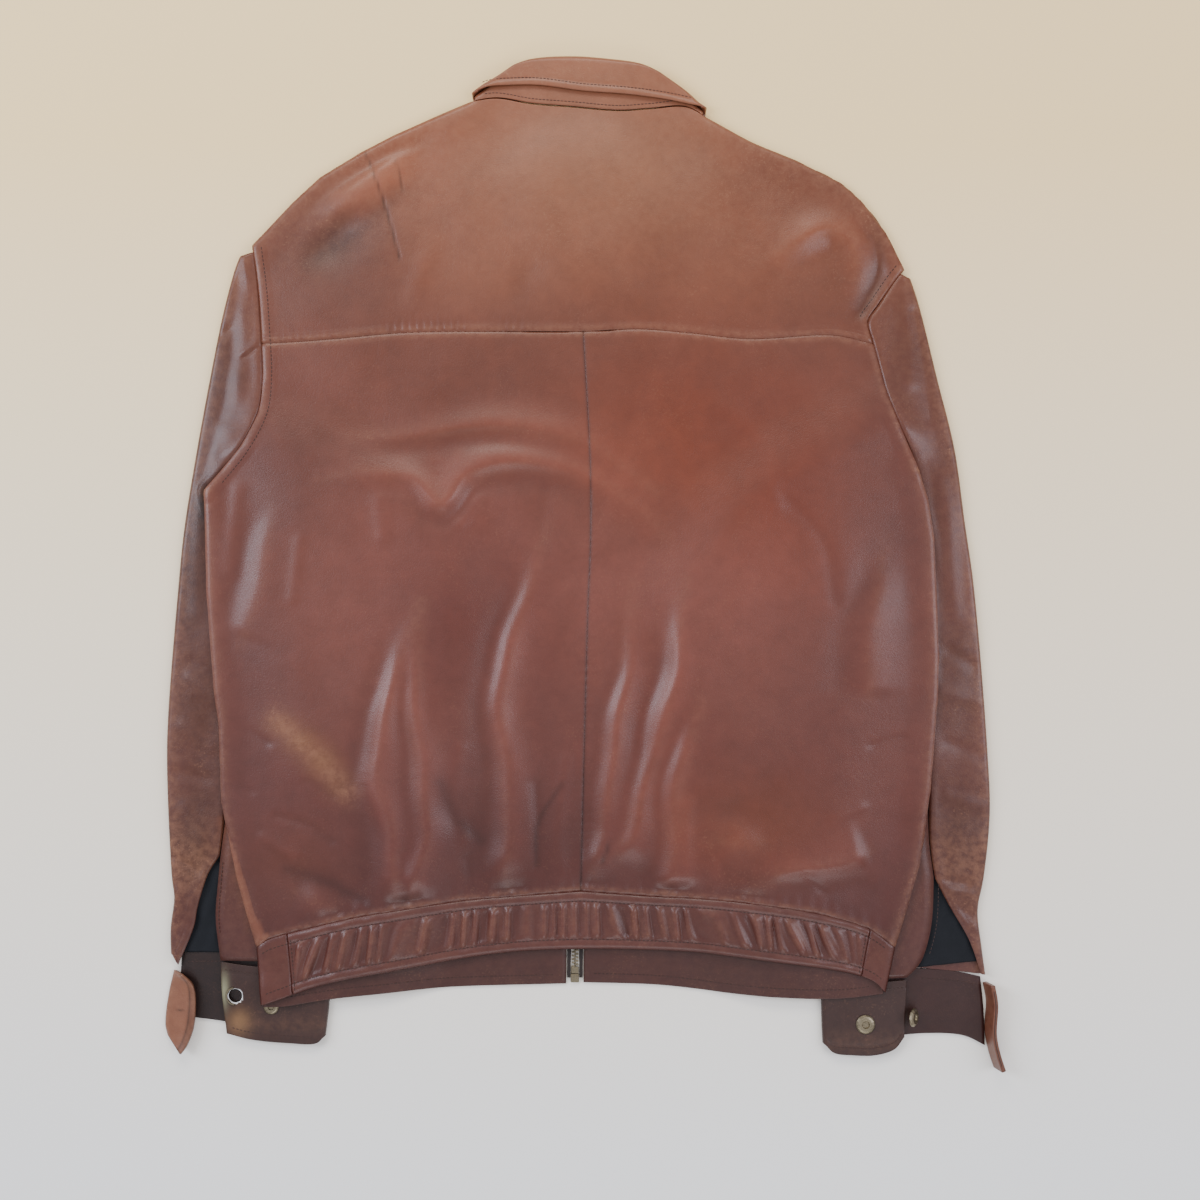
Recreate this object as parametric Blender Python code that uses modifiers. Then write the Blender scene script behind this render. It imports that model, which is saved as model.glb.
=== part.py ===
"""Worn leather zip jacket, lying face down with its sleeves folded under its sides.

Plan sizes are millimetres: x to the right and y towards the collar, as seen from above.
Every cut piece is a thin wall on a grid of points. From the surface up lie the sleeves,
the fronts and the back, and paired layers meet in a rounded fold along their shared edge.
"""
import math

import bmesh
import bpy
import numpy as np
from mathutils import Matrix, Vector

MM = 0.001

# Driving dimensions
WALL = 2.0
SEAM_GAP = 0.3
SLEEVE_HEIGHT = 7.0
SLEEVE_SPREAD = 5.0
BODY_SPREAD = 4.0
EDGE_SPREAD = 5.5
EDGE_ROLL = 3.6
BAND_HEIGHT = 47.0
SNAP_RADIUS = 7.9
ZIP_WIDTH = 5.6
ZIP_THICKNESS = 2.0
TAPE_THICKNESS = 1.0
FRAME_SHIFT = (-0.46, -1.19)

# Layers above the surface, at the middle of each wall
FLOOR_LEVEL = WALL / 2
SLEEVE_TOP_LEVEL = FLOOR_LEVEL + SLEEVE_SPREAD
SLEEVE_LIFT = SLEEVE_HEIGHT + SEAM_GAP
LIFT_REACH = 100.0
LIFT_CLEAR = 36.0

# Outlines of the body, from the hem up and from left to right
SIDE_LEFT = [(-267, -313), (-275, -286), (-283, -257), (-291, -218), (-296, -193), (-298, -131),
             (-302, -102), (-308, -22), (-309, 28), (-310, 61)]
SIDE_RIGHT = [(255, -313), (265, -280), (275, -246), (284, -184), (290, -108), (291, -75),
              (289, -27), (287, 22), (282, 54), (274, 79)]
ARMHOLE_LEFT = [(-310, 61), (-299, 74), (-279, 99), (-266, 126), (-263, 157), (-264, 182)]
ARMHOLE_RIGHT = [(274, 79), (261, 110), (249, 140), (243, 163), (238, 182)]
CAP_SEAM_LEFT = [(-264, 182), (-267, 221), (-272, 263)]
CAP_SEAM_RIGHT = [(238, 182), (234, 200), (243, 214), (256, 233), (264, 243)]
SHOULDER_LEFT = [(-272, 263), (-239, 298), (-216, 319), (-183, 339), (-156, 353), (-124, 367),
                 (-92, 380)]
SHOULDER_RIGHT = [(101, 367), (137, 348), (176, 332), (212, 314), (229, 299), (249, 273),
                  (264, 243)]
YOKE_SEAM_LEFT = [(-264, 182), (-216, 185), (-147, 191), (-101, 192), (0, 192)]
YOKE_SEAM_RIGHT = [(0, 192), (47, 194), (87, 191), (137, 186), (206, 189), (238, 182)]
CENTRE_SEAM = [(-2, -268), (1, -145), (4, -32), (6, 18), (6, 77), (0, 192)]
BAND_SEAM_LEFT = [(-267, -313), (-259, -307), (-231, -299), (-185, -288), (-101, -276), (-2, -268)]
BAND_SEAM_RIGHT = [(-2, -268), (53, -272), (129, -276), (191, -285), (234, -298), (255, -313)]
BAND_HEM = [(-263, -360), (-251, -356), (-208, -342), (-136, -329), (-53, -317), (61, -316),
            (145, -323), (223, -335), (240, -342), (247, -350)]
FRONT_HEM_LEFT = [(-262, -362), (-248, -362), (-196, -355), (-113, -348), (-14, -345)]
FRONT_HEM_RIGHT = [(0, -344), (61, -346), (129, -353), (207, -356), (246, -352)]

# The neck and the collar, its back half first
NECK_BACK = [(-92, 380), (-71, 383), (-42, 378), (-8, 375), (29, 372), (55, 374), (85, 376), (101, 367)]
NECK_FRONT_LEFT = [(-5, 297), (-40, 308), (-72, 338), (-92, 380)]
NECK_FRONT_RIGHT = [(101, 367), (74, 332), (44, 308), (9, 297)]
STAND = {
    "crease_left": [(-89, 384), (-83, 389), (-77, 392.5)],
    "crease_right": [(98.5, 371.5), (94, 375.5), (88, 380)],
    "top_back": [(-77, 392.5), (-55, 405), (-42, 410), (-8, 412.5), (20, 410.5), (46, 406.5), (66, 396),
                 (88, 380)],
    "top_left": [(-77, 392.5), (-56, 366), (-28, 342), (-5, 334)],
    "top_right": [(88, 380), (66, 360), (36, 342), (9, 334)],
}
FALL = {
    "crease_left": [(-91, 386.5), (-84, 392), (-71, 400), (-58, 409)],
    "crease_right": [(101, 374.5), (96, 378), (85, 388), (63, 403)],
    "top_back": [(-58, 409), (-42, 414), (-8, 416), (20, 414), (47, 410), (63, 403)],
    "top_left": [(-58, 409), (-49, 372), (-26, 345), (-5, 338)],
    "top_right": [(63, 403), (60, 368), (35, 344), (9, 338)],
    "edge_back": [(-91, 386.5), (-78, 392), (-66, 393), (-39, 393), (-1, 388), (39, 385), (71, 381),
                  (101, 374.5)],
    "edge_left": [(-91, 386.5), (-84, 318), (-48, 276), (-24, 270)],
    "edge_right": [(101, 374.5), (94, 312), (56, 274), (30, 270)],
}
FALL_RISE = 3.4
THROAT = (2.0, 292.0)
ZIP_EDGE_LEFT = [(-14, -345), (-12, -111), (-7, 135), (-5, 297)]
ZIP_EDGE_RIGHT = [(0, -344), (3, -111), (7, 135), (9, 297)]
ZIP_TOP = 296.5
BOX_WIDTH = 7.0
NECK_CENTRE = (3.0, 340.0)

# The sleeves, from the shoulder down to the cuff seam
SLEEVE_EDGE_LEFT = [(-276, 261), (-283, 251), (-294, 214), (-307, 151), (-320, 79), (-328, 28), (-333, -22),
                    (-341, -123), (-342, -165), (-338, -257), (-336, -273), (-339, -300), (-338, -329)]
SLEEVE_EDGE_RIGHT = [(267, 240), (275, 216), (290, 156), (305, 95), (313, 38), (321, -19), (332, -152),
                     (334, -205), (329, -257), (324, -284), (327, -313), (330, -336)]
BACK_SEAM_LEFT = [(-310, 61), (-303, 37), (-296, 4), (-290, -61), (-288, -127), (-293, -193), (-299, -239)]
BACK_SEAM_RIGHT = [(274, 79), (282, 37), (284, 4), (284, -78), (284, -160), (285, -226), (289, -257)]
SLIT_OUTER_LEFT = [(-299, -239), (-308, -253), (-317, -281), (-320, -297), (-333, -329)]
SLIT_INNER_LEFT = [(-299, -239), (-301, -260), (-303, -290), (-299, -325)]
SLIT_OUTER_RIGHT = [(289, -257), (301, -280), (317, -308), (327, -336)]
SLIT_INNER_RIGHT = [(289, -257), (288, -288), (285, -307), (278, -327), (267, -339)]
INNER_FOLD_LEFT = [(-306, 58), (-240, 47), (-175, 16), (-150, -29), (-154, -111), (-179, -234), (-209, -327)]
INNER_FOLD_RIGHT = [(271, 76), (219, 52), (161, 16), (137, -29), (141, -111), (165, -234), (196, -343)]
UNDER_SEAM_LEFT = [(-303, 70), (-280, 10), (-262, -61), (-256, -180), (-262, -317)]
UNDER_SEAM_RIGHT = [(268, 84), (252, 20), (243, -61), (240, -180), (255, -330)]

# The open cuffs: their upper layer ends at the slit, their lower layer at the loose tab
CUFF_LEFT = {
    "upper_seam": [(-298, -326), (-266, -330), (-209, -330)],
    "upper_hem": [(-293, -385), (-273, -390), (-243, -393), (-219, -393), (-213, -387)],
    "slit": [(-293, -385), (-297, -350), (-298, -326)],
    "fold": [(-213, -387), (-210, -360), (-209, -330)],
    "lower_seam": [(-331, -319), (-297, -318.5), (-262, -318.5), (-209, -330)],
    "lower_hem": [(-336.4, -371), (-297, -376), (-250, -384), (-213, -387)],
    "end": [(-336.4, -371), (-336.4, -356), (-332.6, -340), (-331, -319)],
}
CUFF_RIGHT = {
    "upper_seam": [(266, -341), (240, -343), (197, -345)],
    "upper_hem": [(264, -388), (256, -398), (240, -403), (222, -403), (206, -401), (198, -393)],
    "slit": [(264, -388), (265, -365), (266, -341)],
    "fold": [(198, -393), (197, -370), (197, -345)],
    "lower_seam": [(327.5, -339), (308, -335), (278, -332.5), (255, -331.5), (197, -345)],
    "lower_hem": [(331.3, -396), (314, -388), (284, -386), (240, -390), (198, -393)],
    "end": [(331.3, -396), (330.3, -368), (327.5, -339)],
}
TAB_LEFT_OUTER = [(-342, -387), (-344, -378), (-341, -352), (-336.5, -334)]
TAB_LEFT_INNER = [(-330, -401), (-325, -394), (-319, -376), (-320, -345), (-329, -336)]
TAB_RIGHT_LINE = [(333, -344), (335.5, -359), (334.5, -384), (337.5, -400), (342, -414)]
TAB_RIGHT_HEIGHT = 16.0
COVERED_SNAP = (-256.4, -363.0)
TORN_HOLE = (-286.0, -354.0)
TORN_HOLE_RADIUS = 5.8
FULL_SNAP = (232.0, -377.5)
EDGE_SNAP = (271.0, -371.5, 8.5)
EDGE_SNAP_TILT = 55.0

# Largest folds of the back: height, half width, and the line of each ridge or trough
BACK_FOLDS = [
    (3.2, 13, [(-217, 70), (-185, 77), (-139, 73), (-117, 49), (-91, 74), (-50, 85), (3, 78), (50, 45),
               (72, 21)]),
    (2.4, 12, [(-192, 106), (-133, 109), (-59, 114), (3, 104), (60, 60)]),
    (3.4, 13, [(-133, -30), (-157, -98), (-171, -165), (-156, -209), (-153, -273)]),
    (2.6, 11, [(-133, -30), (-138, -131), (-126, -226), (-141, -276)]),
    (3.2, 13, [(-29, 32), (-53, -40), (-67, -127), (-62, -203), (-62, -267)]),
    (2.6, 11, [(40, -16), (33, -112), (14, -221), (8, -254)]),
    (3.2, 13, [(83, -12), (66, -129), (38, -221), (24, -242)]),
    (3.0, 12, [(98, -110), (77, -179), (70, -269)]),
    (2.6, 16, [(247, 22), (242, -27), (238, -59), (235, -108)]),
    (2.4, 14, [(-255, 53), (-262, -14), (-280, -64)]),
    (-1.8, 11, [(-117, -179), (-101, -212), (-84, -226)]),
    (-1.8, 10, [(-241, -249), (-213, -258), (-176, -276)]),
    (2.4, 14, [(-236, -268), (-205, -280)]),
    (-1.6, 10, [(100, -203), (145, -203)]),
    (2.2, 14, [(105, -226), (150, -228)]),
    (2.4, 13, [(138, -268), (160, -252), (215, -240), (236, -233)]),
    (-1.8, 14, [(-170, 307), (-205, 275), (-239, 243)]),
    (2.4, 16, [(-135, 351), (-175, 320), (-216, 285)]),
    (2.6, 14, [(145, 250), (206, 280), (222, 268), (228, 225)]),
]
GATHERS_LEFT = 24
GATHERS_RIGHT = 22
GATHER_DEPTH = 1.3


def smooth(points, count):
    """Points evenly spaced by length on a smooth curve through the given points."""
    points = np.array(points, dtype=float)
    if len(points) == 2:
        fine = np.linspace(points[0], points[1], 50)
    else:
        chord = np.linalg.norm(np.diff(points, axis=0), axis=1) ** 0.5
        knots = np.concatenate([[0], np.cumsum(chord)])
        slopes = np.gradient(points, knots, axis=0)
        position = np.linspace(0, knots[-1], 60 * len(points))
        span = np.clip(np.searchsorted(knots, position, side="right") - 1, 0, len(points) - 2)
        width = (knots[span + 1] - knots[span])[:, None]
        s = (position - knots[span])[:, None] / width
        fine = ((2 * s**3 - 3 * s**2 + 1) * points[span] + (s**3 - 2 * s**2 + s) * width * slopes[span]
                + (3 * s**2 - 2 * s**3) * points[span + 1] + (s**3 - s**2) * width * slopes[span + 1])
    length = np.concatenate([[0], np.cumsum(np.linalg.norm(np.diff(fine, axis=0), axis=1))])
    wanted = np.asarray(count) if np.ndim(count) else np.linspace(0, 1, count)
    return np.stack([np.interp(wanted * length[-1], length, fine[:, axis]) for axis in (0, 1)], axis=1)


def along(points, share):
    """Places at the given shares of the length of a run of points."""
    length = np.concatenate([[0], np.cumsum(np.linalg.norm(np.diff(points, axis=0), axis=1))])
    return np.stack([np.interp(share * length[-1], length, points[:, axis]) for axis in (0, 1)], axis=1)


def along_share(points):
    length = np.concatenate([[0], np.cumsum(np.linalg.norm(np.diff(points, axis=0), axis=1))])
    return length / length[-1]


def finer(points, times):
    """The same straight runs with more points on them."""
    steps = np.linspace(0, len(points) - 1, (len(points) - 1) * times + 1)
    return np.stack([np.interp(steps, np.arange(len(points)), points[:, axis]) for axis in (0, 1)], axis=1)


def line_distance(x, y, points):
    """Distance from each place to a run of straight lines."""
    nearest = np.full(np.shape(x), 1e9)
    for start, end in zip(points[:-1], points[1:]):
        run = np.subtract(end, start)
        along = ((x - start[0]) * run[0] + (y - start[1]) * run[1]) / max(run @ run, 1e-9)
        along = np.clip(along, 0, 1)
        gap = np.hypot(x - start[0] - along * run[0], y - start[1] - along * run[1])
        nearest = np.minimum(nearest, gap)
    return nearest


def inside_distance(x, y, outline):
    """Distance to a closed outline, positive inside it."""
    inside = np.zeros(np.shape(x), dtype=bool)
    closed = list(outline) + [outline[0]]
    for (ax, ay), (bx, by) in zip(closed[:-1], closed[1:]):
        if ay != by:
            crosses = (ay > y) != (by > y)
            inside ^= crosses & (x < ax + (y - ay) / (by - ay) * (bx - ax))
    return np.where(inside, 1, -1) * line_distance(x, y, closed)


def ease(value):
    value = np.clip(value, 0, 1)
    return value * value * (3 - 2 * value)


SLEEVE_SHADOW_LEFT = [(-345, 61)] + INNER_FOLD_LEFT + [(-209, -395), (-345, -395)]
SLEEVE_SHADOW_RIGHT = [(335, 79)] + INNER_FOLD_RIGHT + [(196, -405), (335, -405)]
BODY_EDGES = [SIDE_LEFT, SIDE_RIGHT, SHOULDER_LEFT, SHOULDER_RIGHT, [(-267, -313), (-263, -361)],
              [(255, -313), (247, -351)]]


def body_lift(x, y):
    """Height of whatever lies under the fronts: the sleeves, the collar's front and the slider."""
    lift = np.zeros(np.shape(x))
    for shadow in (SLEEVE_SHADOW_LEFT, SLEEVE_SHADOW_RIGHT):
        depth = inside_distance(x, y, shadow)
        lift = np.maximum(lift, SLEEVE_LIFT * ease((depth + LIFT_REACH) / (LIFT_REACH - LIFT_CLEAR)))
    neck = np.hypot(x - NECK_CENTRE[0], y - NECK_CENTRE[1])
    throat = np.hypot(x - THROAT[0], y - THROAT[1])
    stud = np.hypot(x - COVERED_SNAP[0], y - COVERED_SNAP[1])
    lift = lift + 2.2 * ease((34 - stud) / 20)
    return np.maximum(lift, 2.6 * ease((150 - neck) / 50) + 3.6 * ease((90 - throat) / 60))


def edge_distance(x, y):
    return np.min([line_distance(x, y, edge) for edge in BODY_EDGES], axis=0)


def roll_share(distance, reach=EDGE_ROLL):
    """How far a layer keeps from the middle height, close to a folded edge."""
    return np.maximum(np.sqrt(1 - (1 - np.clip(distance / reach, 0, 1)) ** 2), 0.42)


def body_spread(x, y):
    """Distance between the fronts and the back, wall middle to wall middle, without folds."""
    edge = edge_distance(x, y)
    inner = BODY_SPREAD + 2.2 * ease((edge - 20) / 60)
    return inner + (EDGE_SPREAD - inner) * (1 - ease(edge / 25))


def fold_relief(x, y):
    """Folds of the back, which die away towards its folded edges and its hip seam."""
    relief = np.zeros(np.shape(x))
    for height, width, line in BACK_FOLDS:
        relief = relief + height * np.exp(-(line_distance(x, y, line) / width) ** 2)
    hip = line_distance(x, y, BAND_SEAM_LEFT + BAND_SEAM_RIGHT[1:])
    return relief * ease((edge_distance(x, y) - 4) / 18) * ease(hip / 16)


def body_middle(x, y):
    return FLOOR_LEVEL + body_lift(x, y) + body_spread(x, y) / 2


def front_level(x, y):
    return body_middle(x, y) - body_spread(x, y) / 2 * roll_share(edge_distance(x, y))


def band_level(x, y):
    return body_middle(x, y) + body_spread(x, y) / 2 * roll_share(edge_distance(x, y))


def back_level(x, y):
    return band_level(x, y) + fold_relief(x, y)


def patch(bottom, top, left, right, across, up):
    """Grid of plan points between four edges, which are sampled already."""
    u = np.asarray(across)[None, :, None]
    v = np.asarray(up)[:, None, None]
    sides = (1 - u) * left[:, None, :] + u * right[:, None, :]
    ends = (1 - v) * bottom[None, :, :] + v * top[None, :, :]
    corners = ((1 - u) * (1 - v) * bottom[0] + u * (1 - v) * bottom[-1]
               + (1 - u) * v * top[0] + u * v * top[-1])
    return sides + ends - corners


def edge_steps(count, length, ends=(True, True)):
    """Fractions from 0 to 1, closer together where an end is a rolled edge."""
    near = np.array([1.2, EDGE_ROLL + 0.4]) / length
    start = [0.0] + (list(near) if ends[0] else [])
    finish = (list(1 - near[::-1]) if ends[1] else []) + [1.0]
    middle = np.linspace(start[-1], finish[0], count + 1)[1:-1]
    return np.array(start + list(middle) + finish)


def trim(grid, bottom=0.0, top=0.0, left=0.0, right=0.0):
    """Draw the edges of a grid in by a seam's half gap."""
    grid = grid.copy()
    for edge, beside, gap in ((0, 1, bottom), (-1, -2, top)):
        step = grid[beside] - grid[edge]
        grid[edge] += step / np.linalg.norm(step, axis=-1, keepdims=True) * gap
    for edge, beside, gap in ((0, 1, left), (-1, -2, right)):
        step = grid[:, beside] - grid[:, edge]
        grid[:, edge] += step / np.linalg.norm(step, axis=-1, keepdims=True) * gap
    return grid


HALF_GAP = SEAM_GAP / 2


def plain_material(name, colour, roughness=0.45, metallic=0.0):
    material = bpy.data.materials.new(name)
    material.use_nodes = True
    shader = material.node_tree.nodes["Principled BSDF"]
    shader.inputs["Base Color"].default_value = (*colour, 1.0)
    shader.inputs["Roughness"].default_value = roughness
    shader.inputs["Metallic"].default_value = metallic
    return material


def add_wall(name, grid, colour, wall=WALL):
    """A named piece of cloth: a grid of middle points with the wall's thickness."""
    rows, columns = grid.shape[:2]
    mesh = bpy.data.meshes.new(name)
    faces = [(r * columns + c, r * columns + c + 1, (r + 1) * columns + c + 1, (r + 1) * columns + c)
             for r in range(rows - 1) for c in range(columns - 1)]
    shift = np.array([*FRAME_SHIFT, 0.0])
    mesh.from_pydata(((grid.reshape(-1, 3) + shift) * MM).tolist(), [], faces)
    mesh.shade_smooth()
    mesh.materials.append(plain_material(name, colour))
    piece = bpy.data.objects.new(name, mesh)
    jacket.objects.link(piece)
    solid = piece.modifiers.new("Wall", "SOLIDIFY")
    solid.thickness = wall * MM
    solid.offset = 0.0
    return piece


def raise_grid(plan, level):
    return np.dstack([plan, level(plan[..., 0], plan[..., 1])])


BROWN = (0.22, 0.085, 0.06)
DARK_BROWN = (0.10, 0.045, 0.035)
NAVY = (0.015, 0.018, 0.025)
BRASS = (0.30, 0.25, 0.17)

for old in list(bpy.data.objects):
    bpy.data.objects.remove(old, do_unlink=True)
jacket = bpy.data.collections.new("Worn leather jacket")
bpy.context.scene.collection.children.link(jacket)
cutters = bpy.data.collections.new("Cutters")
bpy.context.scene.collection.children.link(cutters)

# Shared fractions across and up the back, so that seams meet point to point
ACROSS_LEFT = edge_steps(13, 290, (True, False))
ACROSS_RIGHT = edge_steps(12, 275, (False, True))
UP_SIDE = 17
UP_ARMHOLE = 7
FRONT_SIDE = 13
UP_YOKE = edge_steps(7, 100, (False, True))
NECK_COLUMNS = 10
SHOULDER_COLUMNS = 11


def joined(*runs):
    """One run of points from several that meet end to end."""
    return np.vstack([runs[0]] + [run[1:] for run in runs[1:]])


def x_at(points, y):
    """Where a smooth, steadily falling or rising line passes a given y."""
    line = smooth(points, 200)
    order = np.argsort(line[:, 1])
    return np.interp(y, line[order, 1], line[order, 0])


YOKE_LEFT = smooth(YOKE_SEAM_LEFT, ACROSS_LEFT)
YOKE_RIGHT = smooth(YOKE_SEAM_RIGHT, ACROSS_RIGHT)
HIP_LEFT = smooth(BAND_SEAM_LEFT, ACROSS_LEFT)
HIP_RIGHT = smooth(BAND_SEAM_RIGHT, ACROSS_RIGHT)
ARM_LEFT = smooth(ARMHOLE_LEFT, UP_ARMHOLE + 1)
ARM_RIGHT = smooth(ARMHOLE_RIGHT, UP_ARMHOLE + 1)
CAP_LEFT = smooth(CAP_SEAM_LEFT, UP_YOKE)
CAP_RIGHT = smooth(CAP_SEAM_RIGHT, UP_YOKE)
NECK = smooth(NECK_BACK, NECK_COLUMNS + 1)


def build_back():
    """Two back halves under a yoke across the shoulders."""
    up = np.linspace(0, 1, UP_SIDE + UP_ARMHOLE + 1)
    centre = smooth(CENTRE_SEAM, up)
    outer = joined(smooth(SIDE_LEFT, UP_SIDE + 1), ARM_LEFT)
    left = patch(HIP_LEFT, YOKE_LEFT, outer, centre, ACROSS_LEFT, up)
    left = trim(left, HALF_GAP, HALF_GAP, HALF_GAP, HALF_GAP)
    add_wall("back_left", raise_grid(left, back_level), BROWN)
    outer = joined(smooth(SIDE_RIGHT, UP_SIDE + 1), ARM_RIGHT)
    right = patch(HIP_RIGHT, YOKE_RIGHT, centre, outer, ACROSS_RIGHT, up)
    right = trim(right, HALF_GAP, HALF_GAP, HALF_GAP, HALF_GAP)
    add_wall("back_right", raise_grid(right, back_level), BROWN)

    bottom = joined(YOKE_LEFT, YOKE_RIGHT)
    columns = len(bottom) - 1
    right_columns = columns - SHOULDER_COLUMNS - NECK_COLUMNS
    left_shoulder = smooth(SHOULDER_LEFT, SHOULDER_COLUMNS + 1)
    top = joined(left_shoulder, NECK, smooth(SHOULDER_RIGHT, right_columns + 1))
    across = np.linspace(0, 1, columns + 1)
    yoke = patch(bottom, top, CAP_LEFT, CAP_RIGHT, across, UP_YOKE)
    yoke = trim(yoke, HALF_GAP, HALF_GAP, HALF_GAP, HALF_GAP)
    add_wall("back_yoke", raise_grid(yoke, back_level), BROWN)


def build_fronts():
    """Two plain fronts face down on the surface, and the plain front bands at their hems."""
    for side, edge, hem, zip_edge, shoulder, neck, cap, arm in (
            ("left", SIDE_LEFT, FRONT_HEM_LEFT, ZIP_EDGE_LEFT, SHOULDER_LEFT, NECK_FRONT_LEFT[::-1],
             CAP_LEFT, ARM_LEFT),
            ("right", SIDE_RIGHT, FRONT_HEM_RIGHT, ZIP_EDGE_RIGHT, SHOULDER_RIGHT, NECK_FRONT_RIGHT,
             CAP_RIGHT, ARM_RIGHT)):
        inward = (-0.6 if side == "right" else 0.6, 0.0)
        outer = joined(smooth(edge, FRONT_SIDE + 1), arm[:-1] + inward, cap)
        rows = along_share(outer)
        zip_line = smooth(zip_edge, 200)
        seam_y = hem[0][1] + BAND_HEIGHT if side == "right" else hem[-1][1] + BAND_HEIGHT
        zip_line = along(zip_line[zip_line[:, 1] > seam_y], rows)
        seam = smooth(hem, 12) + (0, BAND_HEIGHT)
        if side == "left":
            top = joined(smooth(shoulder, 6), smooth(neck, 6))
            across = edge_steps(8, 280, (True, False))
            bottom = along(seam, across)
            bottom[0], bottom[-1] = outer[0], zip_line[0]
            grid = patch(bottom, top, outer, zip_line, across, rows)
        else:
            top = joined(smooth(neck, 6)[::-1], smooth(shoulder, 6))
            across = edge_steps(8, 280, (False, True))
            bottom = along(seam, across)
            bottom[0], bottom[-1] = zip_line[0], outer[0]
            grid = patch(bottom, top, zip_line, outer, across, rows)
        grid = trim(grid, HALF_GAP, SEAM_GAP, HALF_GAP, HALF_GAP)
        add_wall("front_" + side, raise_grid(grid, front_level), BROWN)
        band_rows = np.linspace(0, 1, 4)
        lower = smooth(hem, across)
        band_left = lower[0] + (bottom[0] - lower[0]) * band_rows[:, None]
        band_right = lower[-1] + (bottom[-1] - lower[-1]) * band_rows[:, None]
        band = patch(lower, bottom, band_left, band_right, across, band_rows)
        band = trim(band, 0, 2 * HALF_GAP, HALF_GAP, HALF_GAP)
        add_wall("waistband_front_" + side, raise_grid(band, front_level), DARK_BROWN)


def gather_level(x, y, share, up):
    """The back band's height: soft upright gathers that lean outwards towards both ends."""
    lean = 0.35 * (share - 0.5) * (up - 0.5)
    count = GATHERS_LEFT + GATHERS_RIGHT
    wander = 0.012 * np.sin(17 * share) + 0.007 * np.sin(41 * share + 1)
    wave = np.cos(2 * np.pi * count * (share + wander + lean * 0.25))
    fade = ease(share / 0.02) * ease((1 - share) / 0.02) * (0.25 + 0.75 * np.sin(np.pi * up))
    return band_level(x, y) + GATHER_DEPTH * wave * fade


def build_waistband():
    """The elastic back band, gathered between two smooth ends."""
    seam = joined(HIP_LEFT, HIP_RIGHT)
    hem = smooth(BAND_HEM, along_share(seam))
    up = np.array([0.0, 0.5, 1.0])
    first, last = 3, len(seam) - 4
    for name, start, stop in (("waistband_end_left", 0, first),
                              ("waistband_end_right", last, len(seam) - 1)):
        share = np.linspace(0, 1, stop - start + 1)
        lower, upper = hem[start:stop + 1], seam[start:stop + 1]
        left = lower[0] + (upper[0] - lower[0]) * up[:, None]
        right = lower[-1] + (upper[-1] - lower[-1]) * up[:, None]
        end = trim(patch(lower, upper, left, right, share, up), 0, SEAM_GAP, HALF_GAP, HALF_GAP)
        add_wall(name, raise_grid(end, band_level), BROWN)
    steps = 4 * (GATHERS_LEFT + GATHERS_RIGHT) // (last - first) + 1
    lower = finer(hem[first:last + 1], steps)
    upper = finer(seam[first:last + 1], steps)
    share = along_share(upper)
    left = lower[0] + (upper[0] - lower[0]) * up[:, None]
    right = lower[-1] + (upper[-1] - lower[-1]) * up[:, None]
    band = trim(patch(lower, upper, left, right, share, up), 0, SEAM_GAP, HALF_GAP, HALF_GAP)
    level = gather_level(band[..., 0], band[..., 1], share[None, :] + 0 * band[..., 0], up[:, None])
    add_wall("waistband_back", np.dstack([band, level]), BROWN)


SLEEVE_ROLL = 3.0
ROLL_STEPS = np.array([0.3, 1.0])


def sleeve_rows(upper, edge, lower, upper_level, lower_level, count):
    """Rows that run over the top of a flat tube, round its folded edge and back below."""
    rows = []
    for start, fold, finish, high, low in zip(upper, edge, lower, upper_level, lower_level):
        middle = (SLEEVE_TOP_LEVEL + FLOOR_LEVEL) / 2
        over = fold_steps(start, fold, high, SLEEVE_TOP_LEVEL, middle, count)
        under = fold_steps(finish, fold, low, FLOOR_LEVEL, middle, count)
        rows.append(over + under[-2::-1])
    return np.array(rows)


def fold_steps(start, fold, level, flat, middle, count):
    """Points from an inner edge out to a fold, level with the layer and then round the fold."""
    width = np.hypot(*(fold - start))
    reach = min(SLEEVE_ROLL, 0.4 * width)
    share = np.append(np.linspace(0, 1 - reach / width, count + 1), 1 - reach * 0.3 / width)
    points = []
    for place in share:
        height = level + (flat - level) * ease(place / 0.7)
        height = middle + (height - middle) * roll_share((1 - place) * width, reach)
        points.append([*(start + (fold - start) * place), float(height)])
    points.append([*fold, middle])
    return points


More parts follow.
